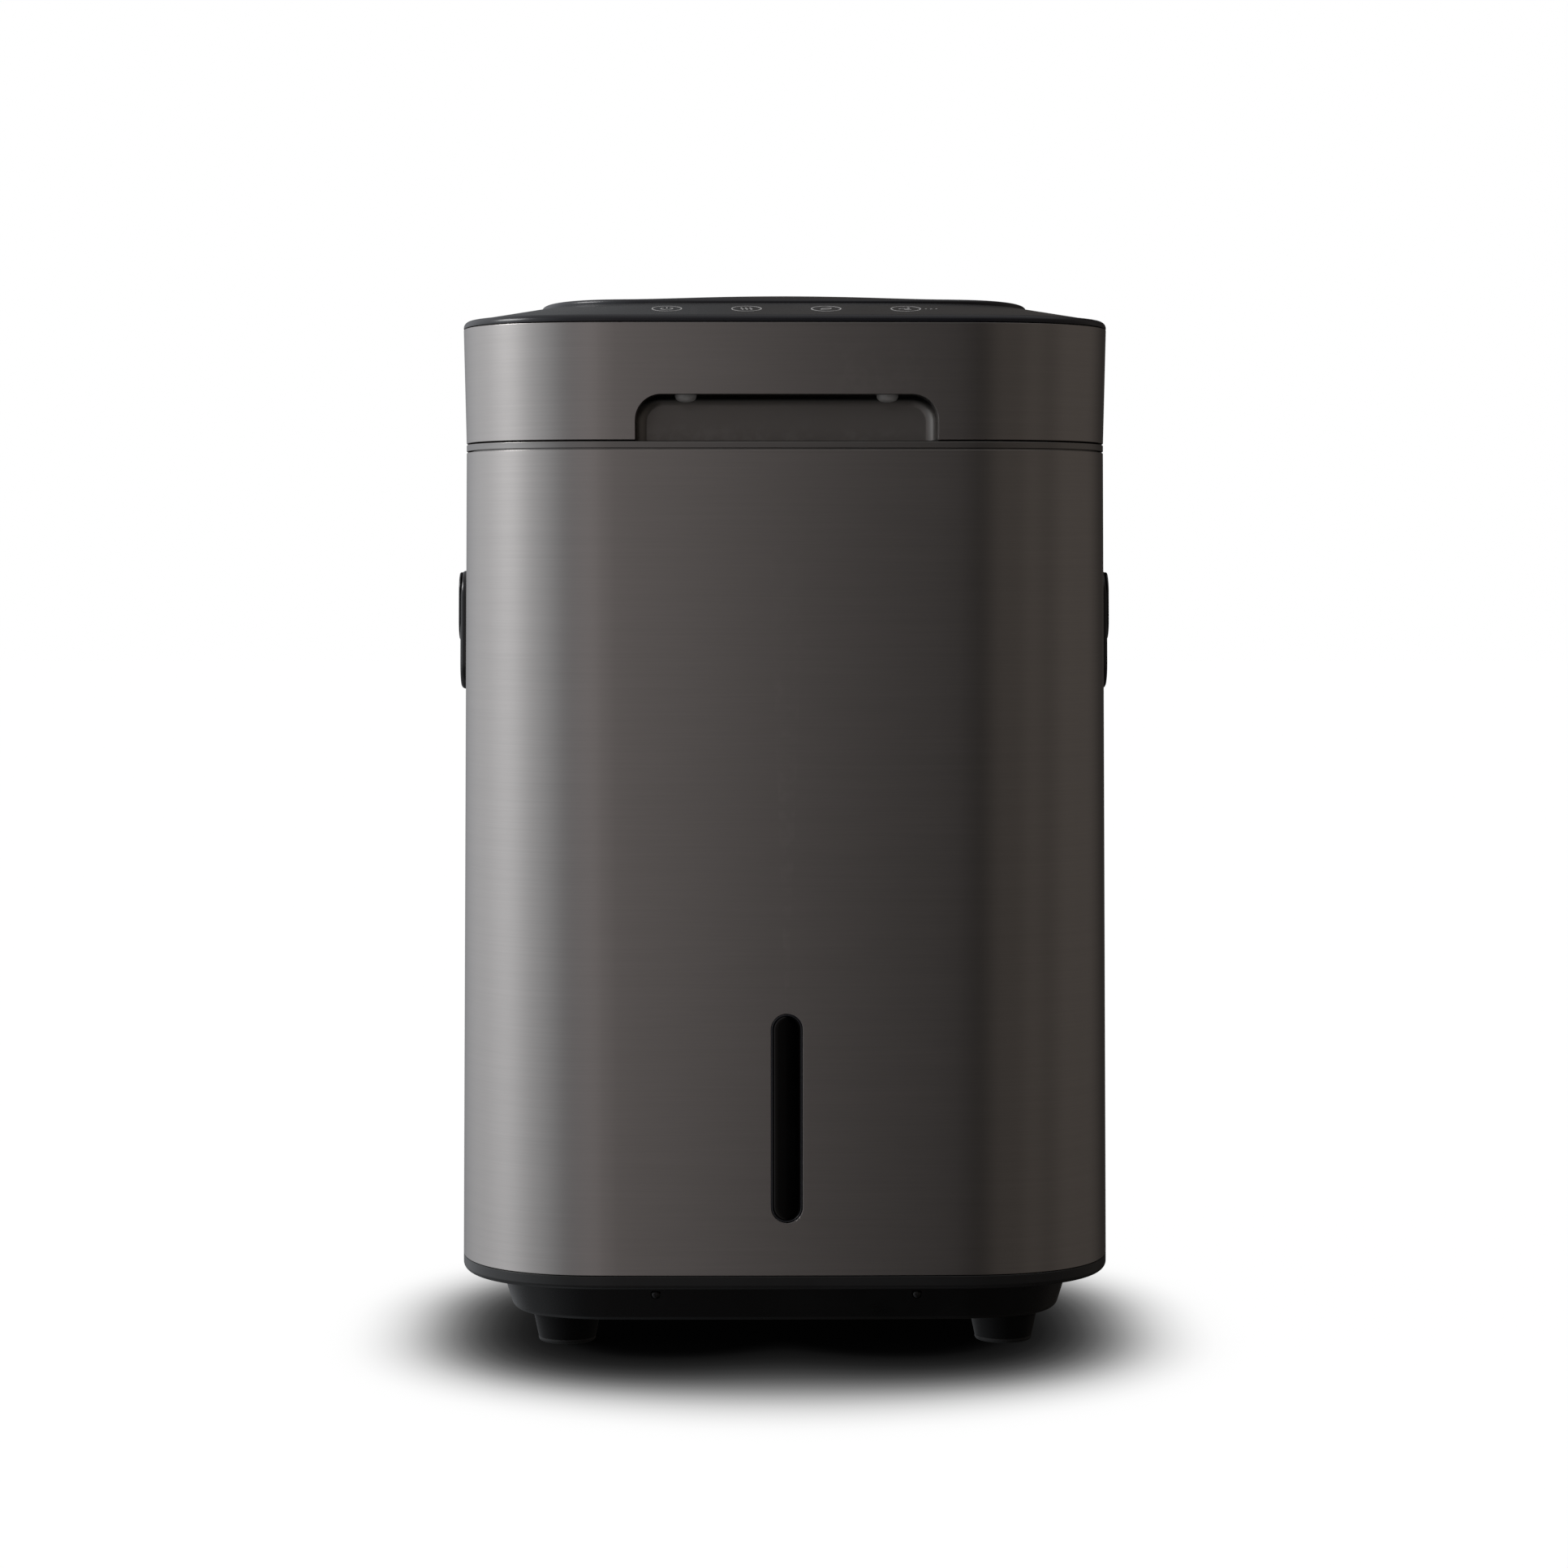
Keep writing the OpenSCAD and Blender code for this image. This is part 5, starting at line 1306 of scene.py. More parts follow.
@dataclass
class BackPanel:
    """The vented panel in the shell's back, its screws, the mains inlet and the filter drawer."""

    width: float = 187.4 * MM
    lap: float = 5 * MM
    thickness: float = 2.5 * MM
    proud: float = 1.6 * MM
    drawer_lap: float = 4 * MM
    slot_width: float = 4 * MM
    slot_gap: float = 8 * MM
    face: float = high("back_panel").y
    screw_x: float = high("panel_screws").x - 3.3 * MM

    @property
    def foot(self) -> float:
        """Height of the opening's lower edge."""
        return low("back_panel").z + self.lap

    @property
    def height(self) -> float:
        """Height of the opening."""
        return high("back_panel").z - self.lap - self.foot

    def build(self) -> None:
        """Builds and dresses every piece."""
        dress(self.panel(), Look.TRIM, "cabinet", "back_panel")
        dress(self.screws(), Look.PLATED, "cabinet", "panel_screws")
        dress(self.inlet(), Look.GLOSS, "cabinet", "power_inlet")
        dress(self.drawer(), Look.TRIM, "filter_unit", "filter_drawer")

    def block(self, name: str, x: float, z: float, width: float, height: float, start: float, stop: float,
              radius: float, edge: float = 0.0, foot: float = 0.0) -> Body:
        """A rounded block through the panel, from one Y to another."""
        made = prism(name, rectangle(width, height, radius, 6), start, stop, edge=edge, foot=foot)
        return place(made, across(x, 0, z))

    def face_size(self) -> Point2:
        """Width and height of the drawer's face."""
        lo, hi = corners("filter_drawer")
        return hi.x - lo.x, hi.z - lo.z

    def panel(self) -> Body:
        """The panel with its drawer recess, air slots, inlet hole and screw seats."""
        face, back = self.face, self.face - self.proud
        middle = self.foot + self.height / 2
        made = self.block("vented_panel", 0, middle, self.width - 0.8 * MM, self.height - 0.8 * MM,
                          back - 0.5 * MM, face, 1.2 * MM, edge=0.8 * MM)
        lap = self.block("panel_lap", 0, middle, self.width + 2 * self.lap, self.height + 2 * self.lap,
                         back - self.thickness, back, 2 * MM)
        shape(made, lap, Cut.ADD)
        wide, tall = self.face_size()
        level = mid_z("filter_drawer")
        wide, tall = wide + 1.2 * MM, tall + 1.2 * MM
        shape(made, self.block("recess", 0, level, wide, tall, face - 1.2 * MM, face + MM, 6 * MM))
        wide, tall = wide - 2 * self.drawer_lap, tall - 2 * self.drawer_lap
        shape(made, self.block("bay", 0, level, wide, tall, back - 5 * MM, face + MM, 0.8 * MM))
        for tool in self.openings():
            shape(made, tool)
        return soften(made, 0.4 * MM, 36, 3)

    def openings(self) -> Iterable[Body]:
        """Bodies that cut the two fields of air slots, the inlet hole and the screw seats."""
        fan_low, fan_high = (corner.z for corner in corners("fan_frame"))
        inlet_z, inner, outer = mid_z("power_inlet"), self.face - 10 * MM, self.face + 2 * MM
        fields = ((13, 0.0, fan_low, fan_high - 4 * MM),
                  (11, -2 * self.slot_gap, inlet_z - 12 * MM, inlet_z + 24 * MM))
        for count, x, start, stop in fields:
            slot = self.block("slot", 0, 0, self.slot_width, stop - start, inner, outer, 1.9 * MM)
            yield Rows(count, 1, self.slot_gap, 0, (x, 0, (start + stop) / 2)).of(slot)
        lo, hi = corners("power_inlet")
        wide = hi.x - lo.x - 10 * MM + 0.4 * MM
        yield self.block("inlet_hole", (lo.x + hi.x) / 2, inlet_z, wide, 20.4 * MM, inner, outer, 0.6 * MM)
        for z in self.screw_levels():
            seat = self.block("seat", 0, 0, 7.2 * MM, 7.2 * MM, self.face - 1.4 * MM, self.face + 3 * MM, 3.59 * MM)
            yield Rows(2, 1, 2 * self.screw_x, 0, (0, 0, z)).of(seat)

    def screw_levels(self) -> Point3:
        """Heights of the three rows of panel screws."""
        return (self.foot + 10 * MM, self.foot + self.height / 2 - 60 * MM, self.foot + self.height - 10 * MM)

    def screws(self) -> Body:
        """Six countersunk screws in three rows, repeated from one."""
        rows = []
        for number, z in enumerate(self.screw_levels()):
            one = screw(f"row_{number}", 3.3 * MM, 1.2 * MM, 1.4 * MM, 6 * MM)
            place(one, rotate("X", -90))
            rows.append(Rows(2, 1, 2 * self.screw_x, 0, (0, self.face - 1.4 * MM, z)).of(one))
        return soften(join("back_screws", rows), 0, 40)

    def inlet(self) -> Body:
        """The mains inlet: a rounded flange round a deep socket with cut lower corners."""
        lo, hi = corners("power_inlet")
        x, z = (lo.x + hi.x) / 2, mid_z("power_inlet")
        wide, tall = hi.x - lo.x - 10 * MM, hi.z - lo.z - 4 * MM
        made = self.block("inlet", x, z, wide, tall, lo.y, hi.y - 1.2 * MM, 1 * MM)
        flange = self.block("flange", x, z, hi.x - lo.x, hi.z - lo.z, hi.y - 1.6 * MM, hi.y, 3 * MM, edge=0.7 * MM)
        shape(made, flange, Cut.ADD)
        socket = self.block("socket", x, z, wide - 3.6 * MM, tall - 3.6 * MM, hi.y - 17.6 * MM, hi.y + MM, 2.4 * MM)
        shape(made, socket)
        for dx, dz in ((-7, -2), (0, 1), (7, -2)):
            shape(made, self.block("pin_hole", x + dx * MM, z + dz * MM, 2.2 * MM, 4.2 * MM,
                                   lo.y + MM, hi.y - 12 * MM, 0.1 * MM))
        return soften(made, 0.35 * MM, 36, 3)

    def drawer(self) -> Body:
        """The filter drawer: a crowned face with a finger pull, and a slotted tray behind it."""
        lo, hi = corners("filter_drawer")
        wide, tall = self.face_size()
        level, wall, thick = mid_z("filter_drawer"), 2 * MM, 3 * MM
        slack = 2 * self.drawer_lap + 0.4 * MM
        tray_wide, tray_tall = wide - slack, tall - slack
        inner = hi.y - thick
        tray = self.block("tray", 0, level, tray_wide, tray_tall, lo.y, inner + 0.5 * MM, 1.2 * MM, foot=MM)
        hollow = self.block("hollow", 0, level + wall, tray_wide - 2 * wall, tray_tall + wall,
                            lo.y + wall, inner - wall, MM)
        shape(tray, hollow)
        front = self.block("front_slot", 0, 0, 10 * MM, 50 * MM, lo.y - MM, lo.y + 5 * MM, 1.5 * MM)
        shape(tray, Rows(9, 1, 15 * MM, 0, (0, 0, level + 5 * MM)).of(front))
        floor_slot = prism("floor_slot", rectangle(10 * MM, inner - lo.y - 24 * MM, 1.5 * MM), -MM, 5 * MM)
        tray_foot = level - tray_tall / 2
        shape(tray, Rows(9, 1, 15 * MM, 0, (0, (lo.y + inner) / 2, tray_foot)).of(floor_slot))
        made = self.block("drawer", 0, level, wide, tall, inner, hi.y, 5.4 * MM, edge=1.2 * MM)
        shape(made, tray, Cut.ADD)
        pull = turned_rod("pull", 10 * MM, -30 * MM, 30 * MM, 4 * MM)
        place(pull, shift((0, hi.y + 8 * MM, level + 14 * MM)) @ rotate("Y"))
        shape(made, pull)
        return soften(made, 0.5 * MM, 36, 3)


# ---- the lid


def arch(width: float, height: float, radius: float, below: float = 0.0) -> list[Point2]:
    """A rectangle with rounded upper corners, from some way below its base line."""
    x = width / 2
    return fillet([(-x, -below, 0), (x, -below, 0), (x, height, radius), (-x, height, radius)], steps=12)


@dataclass
class Lid:
    """The hinged lid's outside: skirt, glossy band, sloping touch panel, raised cover and finger recess."""

    band_round: float = 3 * MM
    deck_run: float = 40 * MM
    deck_thickness: float = 2.5 * MM
    cover_radius: float = 64 * MM
    cover_edge: float = 1.8 * MM
    cover_crown: float = 9 * MM
    cover_thickness: float = 2.5 * MM
    cover_gap: float = 0.5 * MM
    hook: float = 3.5 * MM
    grip_width: float = 150.2 * MM
    grip_height: float = 22.6 * MM
    grip_radius: float = 13 * MM
    grip_depth: float = 24 * MM
    plug_gap: float = 100 * MM
    plug_radius: float = 5.4 * MM
    hinge_y: float = 180 * MM
    hinge_up: float = 7.5 * MM
    foot: float = low("lid_shell").z
    top: float = high("lid_shell").z
    deck_foot: float = high("lid_band").z
    deck_top: float = high("lid_deck").z

    @property
    def deck_inset(self) -> float:
        """How far the sloping panel starts inside the body's outline."""
        return self.lean(self.top) + self.band_round + 1.2 * MM

    def lean(self, z: float) -> float:
        """How far the skirt stands in from the body's foot at a height."""
        return FORM.draft - FORM.flare * (z - self.foot) / (self.top - self.foot)

    @property
    def cover(self) -> Outline:
        """Outline of the raised cover."""
        inset = FORM.plan.inset(self.deck_run)
        return replace(inset, radius=self.cover_radius)

    def cover_height(self, x: float, y: float) -> float:
        """Height of the raised cover over a point."""
        across_x, across_y = 2 * x / self.cover.width, 2 * y / self.cover.depth
        return self.deck_top + self.cover_edge + self.cover_crown * (1 - across_x**2) * (1 - across_y**2)

    def build(self) -> None:
        """Builds and dresses every piece."""
        dress(self.skirt(), Look.SHELL, "lid", "lid_shell")
        dress(self.band(), Look.GLOSS, "lid", "lid_band")
        dress(self.deck(), Look.DECK, "lid", "lid_deck")
        dress(self.dome(), Look.GLOSS, "lid", "lid_dome")
        dress(self.cup(), Look.CUP, "lid", "grip_cup")
        dress(self.plugs(), Look.PLUG, "lid", "grip_plugs")

    def skirt(self) -> Body:
        """The brushed skirt, cut for the finger recess and the hinge."""
        foot, top, wall, edge = self.foot, self.top, FORM.wall, 0.35 * MM
        below, above = self.lean(foot), self.lean(top)
        section = [(below, foot), (above, top), (above + wall, top), (below + wall, foot)]
        made = sweep("lid_skirt", FORM.plan, fillet([(*point, edge) for point in section], steps=3))
        recess = arch(self.grip_width, self.grip_height, self.grip_radius, 4 * MM)
        carve(made, across(0, -FORM.depth / 2 + 30 * MM, foot, backwards=False), recess, 0, 60 * MM)
        half = high("lid_hinge_arms").x + MM
        rise = 2 * self.hinge_up + 1.5 * MM
        carve(made, across(0, self.hinge_y, foot), rectangle(2 * half, 2 * rise, 1.5 * MM, 4), -20 * MM, 20 * MM)
        bevel_y = FORM.depth / 2 - self.lean(foot) - 2.4 * MM
        corner = [(0, -MM), (6 * MM, -MM), (6 * MM, 6 * MM)]
        carve(made, lengthwise(bevel_y, foot), corner, -FORM.width / 2, FORM.width / 2)
        return soften(made, 0.3 * MM, 34, 3)

    def band(self) -> Body:
        """The glossy band that rounds over from the skirt to the touch panel."""
        foot, top, edge = low("lid_band").z, self.deck_foot, self.lean(self.top)
        turn = [(edge + self.band_round * (1 - cos(a)), top - self.band_round * (1 - sin(a)))
                for a in angles(7.5, 0, 12)]
        inner = edge + self.band_round
        section = [(edge + 0.25 * MM, foot), (edge, foot + 0.25 * MM)] + turn + [
            (inner + 0.8 * MM, top), (inner + MM, top - 0.2 * MM), (inner + MM, foot + 1.2 * MM),
            (inner + 8 * MM, foot + 1.2 * MM), (inner + 8 * MM, foot)]
        return soften(sweep("gloss_band", FORM.plan, section), 0, 34)

    def deck_rings(self, drop: float, count: int, trim: float = 0.0) -> list[Ring]:
        """Rings of the sloping panel from its outer to its inner edge, let down by a distance."""
        outer, inner = FORM.plan.inset(self.deck_inset).points(), self.cover.points()
        rings = []
        for step in range(count + 1):
            share = trim + (1 - 2 * trim) * step / count
            height = self.deck_foot + (self.deck_top - self.deck_foot) * share - drop
            rings.append([Vector((*between(a, b, share), height)) for a, b in zip(outer, inner)])
        return rings

    def deck(self) -> Body:
        """The sloping touch panel, a ring ruled between two outlines, with eased edges."""
        edge = self.deck_rings(0.25 * MM, 1)
        above = self.deck_rings(0, 6, 0.008)
        below = self.deck_rings(self.deck_thickness, 1)[::-1]
        return soften(skin("touch_panel", [edge[0]] + above + [edge[1]] + below, around=True), 0, 40)

    def dome(self) -> Body:
        """The raised cover: a rounded edge, a crown that rises both ways and a hooked rim."""
        def ring(inset: float, drop: float) -> Ring:
            """The cover's outline, stood in and let down from its crown."""
            return [Vector((x, y, self.cover_height(x, y) - drop)) for x, y in self.cover.inset(inset).points()]

        side, edge, thick = self.cover_gap, 1.6 * MM, self.cover_thickness
        foot = low("lid_dome").z
        turn = [ring(side + edge * (1 - cos(a)), edge * (1 - sin(a))) for a in angles(9, 0, 10)]
        insets = [side + edge + 2 * MM + 5.5 * MM * i for i in range(21)]
        inside = [ring(inset + thick, thick) for inset in insets[::-1]]
        wall = [self.cover.inset(side + thick).ring(foot), self.cover.inset(-self.hook).ring(foot),
                self.cover.inset(-self.hook).ring(foot + 2.5 * MM), self.cover.inset(side).ring(foot + 2.5 * MM)]
        outside = turn + [ring(inset, 0) for inset in insets]
        made = skin("raised_cover", inside + wall + outside, apex=Vector((0, 0, self.cover_height(0, 0))))
        return soften(made, 0, 36)

    def cup(self) -> Body:
        """The finger recess: an arched tunnel with filleted far corners."""
        front = -FORM.depth / 2 + self.lean(self.foot) + FORM.wall + 0.9 * MM
        back = -FORM.depth / 2 + self.lean(self.foot) + self.grip_depth
        wall = 2 * MM
        outside = arch(self.grip_width + 2 * wall, self.grip_height + wall, self.grip_radius + wall)
        at = across(0, back, self.foot, backwards=False)
        made = place(prism("finger_recess", outside, -wall, back - front), at)
        carve(made, at, arch(self.grip_width, self.grip_height, self.grip_radius, 12 * MM), 0, 60 * MM, foot=5 * MM)
        return soften(made, 0.5 * MM, 40, 3)

    def plugs(self) -> Body:
        """Two soft plugs in the recess's ceiling, repeated from one."""
        lo, radius = low("grip_plugs"), self.plug_radius
        ceiling = self.foot + self.grip_height - 0.1 * MM
        tall = ceiling - lo.z
        button = [(radius * sin(a) ** 0.7, ceiling - tall * cos(a) ** 0.8) for a in angles(9, 2, 10)]
        profile = [(0.5 * MM, lo.z + 0.3 * MM), (1.3 * MM, lo.z + 0.3 * MM), (1.6 * MM, lo.z)] + button + [
            (1.6 * MM, ceiling), (1.6 * MM, ceiling + 2.6 * MM)]
        one = baked(soften(lathe("recess_plugs", profile, 48), 0, 34))
        return Rows(2, 1, self.plug_gap, 0, (0, lo.y + radius, 0)).of(one)


@dataclass
class TouchMarks:
    """Plain ring keys with simple signs, printed on the touch panel."""

    lid: Lid
    gap: float = 39.7 * MM
    ring_radius: float = 7.3 * MM
    line: float = 0.6 * MM
    thickness: float = 0.05 * MM

    def build(self) -> None:
        """Draws the rings, the signs and the row of lights, and lays them on the panel."""
        ring = self.stroke("key_ring", circle(self.ring_radius, 5.625, 0, 63), closed=True)
        parts = [Rows(4, 1, self.gap, 0).of(ring)]
        for number, draw in enumerate((self.power, self.waves, self.leaf, self.fan)):
            sign = join("sign", draw())
            parts.append(place(sign, shift(((number - 1.5) * self.gap, 0, 0))))
        dot = prism("light", circle(0.55 * MM, 18, 0, 19), 0, self.thickness)
        parts.append(Rows(3, 1, 2.6 * MM, 0, (1.82 * self.gap, 0, 0)).of(dot))
        marks = join("touch_marks", parts)
        self.lay(marks)
        dress(soften(marks, 0, 40), Look.MARK, "lid")

    def lay(self, marks: Body) -> None:
        """Lays flat marks on the sloping panel's front."""
        lid, plan = self.lid, FORM.plan
        rise = lid.deck_top - lid.deck_foot
        run = lid.deck_run - lid.deck_inset
        slope = atan2(rise, run)
        outer = plan.inset(lid.deck_inset)
        for vertex in marks.data.vertices:
            x, up, out = vertex.co
            front = outer.bowed((x, -outer.depth / 2))[1]
            along = run / 2 + up * cos(slope)
            height = lid.deck_foot + along * rise / run + out * cos(slope) + 0.01 * MM
            vertex.co = Vector((x, front + along - out * sin(slope), height))
        marks.data.update()

    def stroke(self, name: str, points: Points, closed: bool = False,
               width: Optional[float] = None) -> Body:
        """A thin raised line along points."""
        half = (width or self.line) / 2
        rings: list[Ring] = []
        for index, point in enumerate(points):
            before = Vector(points[index - 1 if closed or index else 0])
            after = Vector(points[(index + 1) % len(points)] if closed or index < len(points) - 1 else point)
            along = (after - before).normalized()
            side = Vector((-along.y, along.x)) * half
            here = Vector(point)
            rings.append([Vector((*(here + side), 0)), Vector((*(here + side), self.thickness)),
                          Vector((*(here - side), self.thickness)), Vector((*(here - side), 0))])
        return skin(name, rings, around=closed)

    def power(self) -> list[Body]:
        """An open circle with a bar."""
        arc = [(2.9 * MM * cos(a), 2.9 * MM * sin(a)) for a in (radians(122 + 296 * i / 36) for i in range(37))]
        return [self.stroke("arc", arc), self.stroke("bar", [(0, 0.6 * MM), (0, 3.9 * MM)])]

    def waves(self) -> list[Body]:
        """Three rising waves."""
        made = []
        for x in (-2.2, 0, 2.2):
            wave = [((x + 0.55 * sin(t * tau / 12)) * MM, (t / 12 * 6.0 - 3.0) * MM) for t in range(13)]
            made.append(self.stroke("wave", wave))
        return made

    def leaf(self) -> list[Body]:
        """A leaf with its rib."""
        side = [(3.4 * t / 10 * 2 - 3.4, 1.9 * sin(pi * t / 10)) for t in range(11)]
        turn = radians(40)
        both = side + [(x, -y) for x, y in side[-2:0:-1]]
        outline = [((x * cos(turn) - y * sin(turn)) * MM, (x * sin(turn) + y * cos(turn)) * MM) for x, y in both]
        rib = [(-3.6 * cos(turn) * MM, -3.6 * sin(turn) * MM), (1.6 * cos(turn) * MM, 1.6 * sin(turn) * MM)]
        return [self.stroke("leaf", outline, closed=True), self.stroke("rib", rib, width=0.4 * MM)]

    def fan(self) -> list[Body]:
        """Three curved blades."""
        made = []
        for blade in range(3):
            points = []
            for step in range(9):
                angle = radians(120 * blade + 75 * step / 8)
                points.append(((0.7 + 2.9 * step / 8) * MM * cos(angle), (0.7 + 2.9 * step / 8) * MM * sin(angle)))
            made.append(self.stroke("blade", points, width=0.8 * MM))
        return made


@dataclass
class LidInside:
    """What the open lid shows: liner, gasket, knuckles and the barrel that they turn about."""

    lid: Lid
    plug_depth: float = 8 * MM
    gasket_width: float = 5 * MM
    barrel_radius: float = 7.5 * MM

    def build(self) -> None:
        """Builds and dresses every piece."""
        dress(self.liner(), Look.DARK, "lid", "lid_liner")
        dress(self.gasket(), Look.SILICONE, "lid", "lid_gasket")
        dress(self.arms(), Look.TRIM, "lid", "lid_hinge_arms")
        dress(self.housing(), Look.TRIM, "cabinet", "hinge_housing")

    def liner(self) -> Body:
        """The liner's plate with the plug that closes the tank's mouth."""
        lid, top = self.lid, high("lid_liner").z
        under = top - 2.5 * MM
        inset = lid.lean(under) + FORM.wall + 0.3 * MM
        inner = inset + 4 * MM
        edge = [(inner, under, 0), (inset, under, 0.8 * MM), (inset, top, 0.5 * MM), (inner, top, 0)]
        made = sweep("lid_inner_liner", FORM.plan, fillet(edge, closed=False, steps=4), closed=False)
        wide, deep, radius = FORM.mouth[0] - 8 * MM, FORM.mouth[1] - 8 * MM, FORM.mouth[2] - 4 * MM
        foot, at = under - self.plug_depth, FORM.mouth_at
        carve(made, at, rectangle(wide, deep, radius, 12), foot, under + MM, Cut.ADD, foot=3 * MM)
        panel = rectangle(wide - 50 * MM, deep - 50 * MM, 14 * MM, 8)
        carve(made, at, panel, foot - 3 * MM, foot + 1.2 * MM, edge=0.8 * MM)
        carve(made, at, rectangle(wide - 5 * MM, deep - 5 * MM, radius - 2 * MM, 12), foot + 2.5 * MM, top + MM)
        half, start = high("lid_hinge_arms").x + 2 * MM, lid.hinge_y - self.barrel_radius - 3 * MM
        reach = -FORM.depth / 2 + lid.lean(lid.foot) + lid.grip_depth + 2.5 * MM
        for wide, y in ((2 * half, start + 40 * MM), (lid.grip_width + 6 * MM, reach - 40 * MM)):
            carve(made, shift((0, y, under)), rectangle(wide, 80 * MM, 2 * MM, 4), -20 * MM, 60 * MM)
        return soften(made, 0.6 * MM, 38, 3)

    def gasket(self) -> Body:
        """The soft seal round the mouth, a bead with a lip."""
        lo, hi = corners("lid_gasket")
        outline = Outline(hi.x - lo.x, hi.y - lo.y, FORM.mouth[2] + 8 * MM, 0, 12, 6)
        width, mid = self.gasket_width, (lo.z + hi.z) / 2
        section = [(0, hi.z, 0.3 * MM), (0.4 * MM, mid, 0.6 * MM), (0, lo.z, 0.8 * MM), (1.6 * MM, lo.z, 0.8 * MM),
                   (2.4 * MM, mid, 0.5 * MM), (width, lo.z + 0.9 * MM, 0.5 * MM), (width, hi.z, 0.3 * MM)]
        made = sweep("lid_seal", outline, fillet(section, steps=3))
        return soften(place(made, shift((0, (lo.y + hi.y) / 2, 0))), 0, 60)

    def barrel(self, name: str, start: float, stop: float) -> Body:
        """A round length about the hinge's axis, with eased ends."""
        radius, edge = self.barrel_radius, 0.7 * MM
        profile = [(radius - edge, start), (radius - 0.3 * edge, start + 0.3 * edge), (radius, start + edge),
                   (radius, stop - edge), (radius - 0.3 * edge, stop - 0.3 * edge), (radius - edge, stop)]
        made = lathe(name, profile, 72)
        axis = shift((0, self.lid.hinge_y, self.lid.foot + self.lid.hinge_up))
        return place(made, axis @ rotate("Y"))

    def arms(self) -> Body:
        """Two lid knuckles with the webs that carry them."""
        hi = high("lid_hinge_arms")
        inner, outer = low("hinge_housing").x, hi.x
        web_back = FORM.depth / 2 - self.lid.lean(self.lid.foot) - FORM.wall - 0.3 * MM
        parts = []
        for side in (-1, 1):
            start, stop = sorted((side * (abs(inner) + MM), side * outer))
            made = self.barrel("knuckle", start, stop)
            foot = self.lid.foot + self.lid.hinge_up - MM
            web = rectangle(stop - start, hi.z - foot, 2 * MM, 4)
            carve(made, across((start + stop) / 2, 0, (foot + hi.z) / 2), web, web_back - 7 * MM, web_back, Cut.ADD)
            parts.append(soften(made, 0.4 * MM, 36, 2))
        for part in parts:
            baked(part)
        return soften(join("lid_knuckles", parts), 0, 36)

    def housing(self) -> Body:
        """The fixed barrel on its pedestal."""
        lo, hi = corners("hinge_housing")
        made = self.barrel("hinge_barrel", lo.x, hi.x)
        start, stop = self.lid.hinge_y - self.barrel_radius, self.lid.hinge_y + 3.5 * MM
        tall = self.lid.foot + self.lid.hinge_up - lo.z
        carve(made, across(0, 0, lo.z + tall / 2), rectangle(hi.x - lo.x, tall, 1.2 * MM, 4), start, stop, Cut.ADD)
        return soften(made, 0.5 * MM, 36, 3)


# ---- tank and stirrer


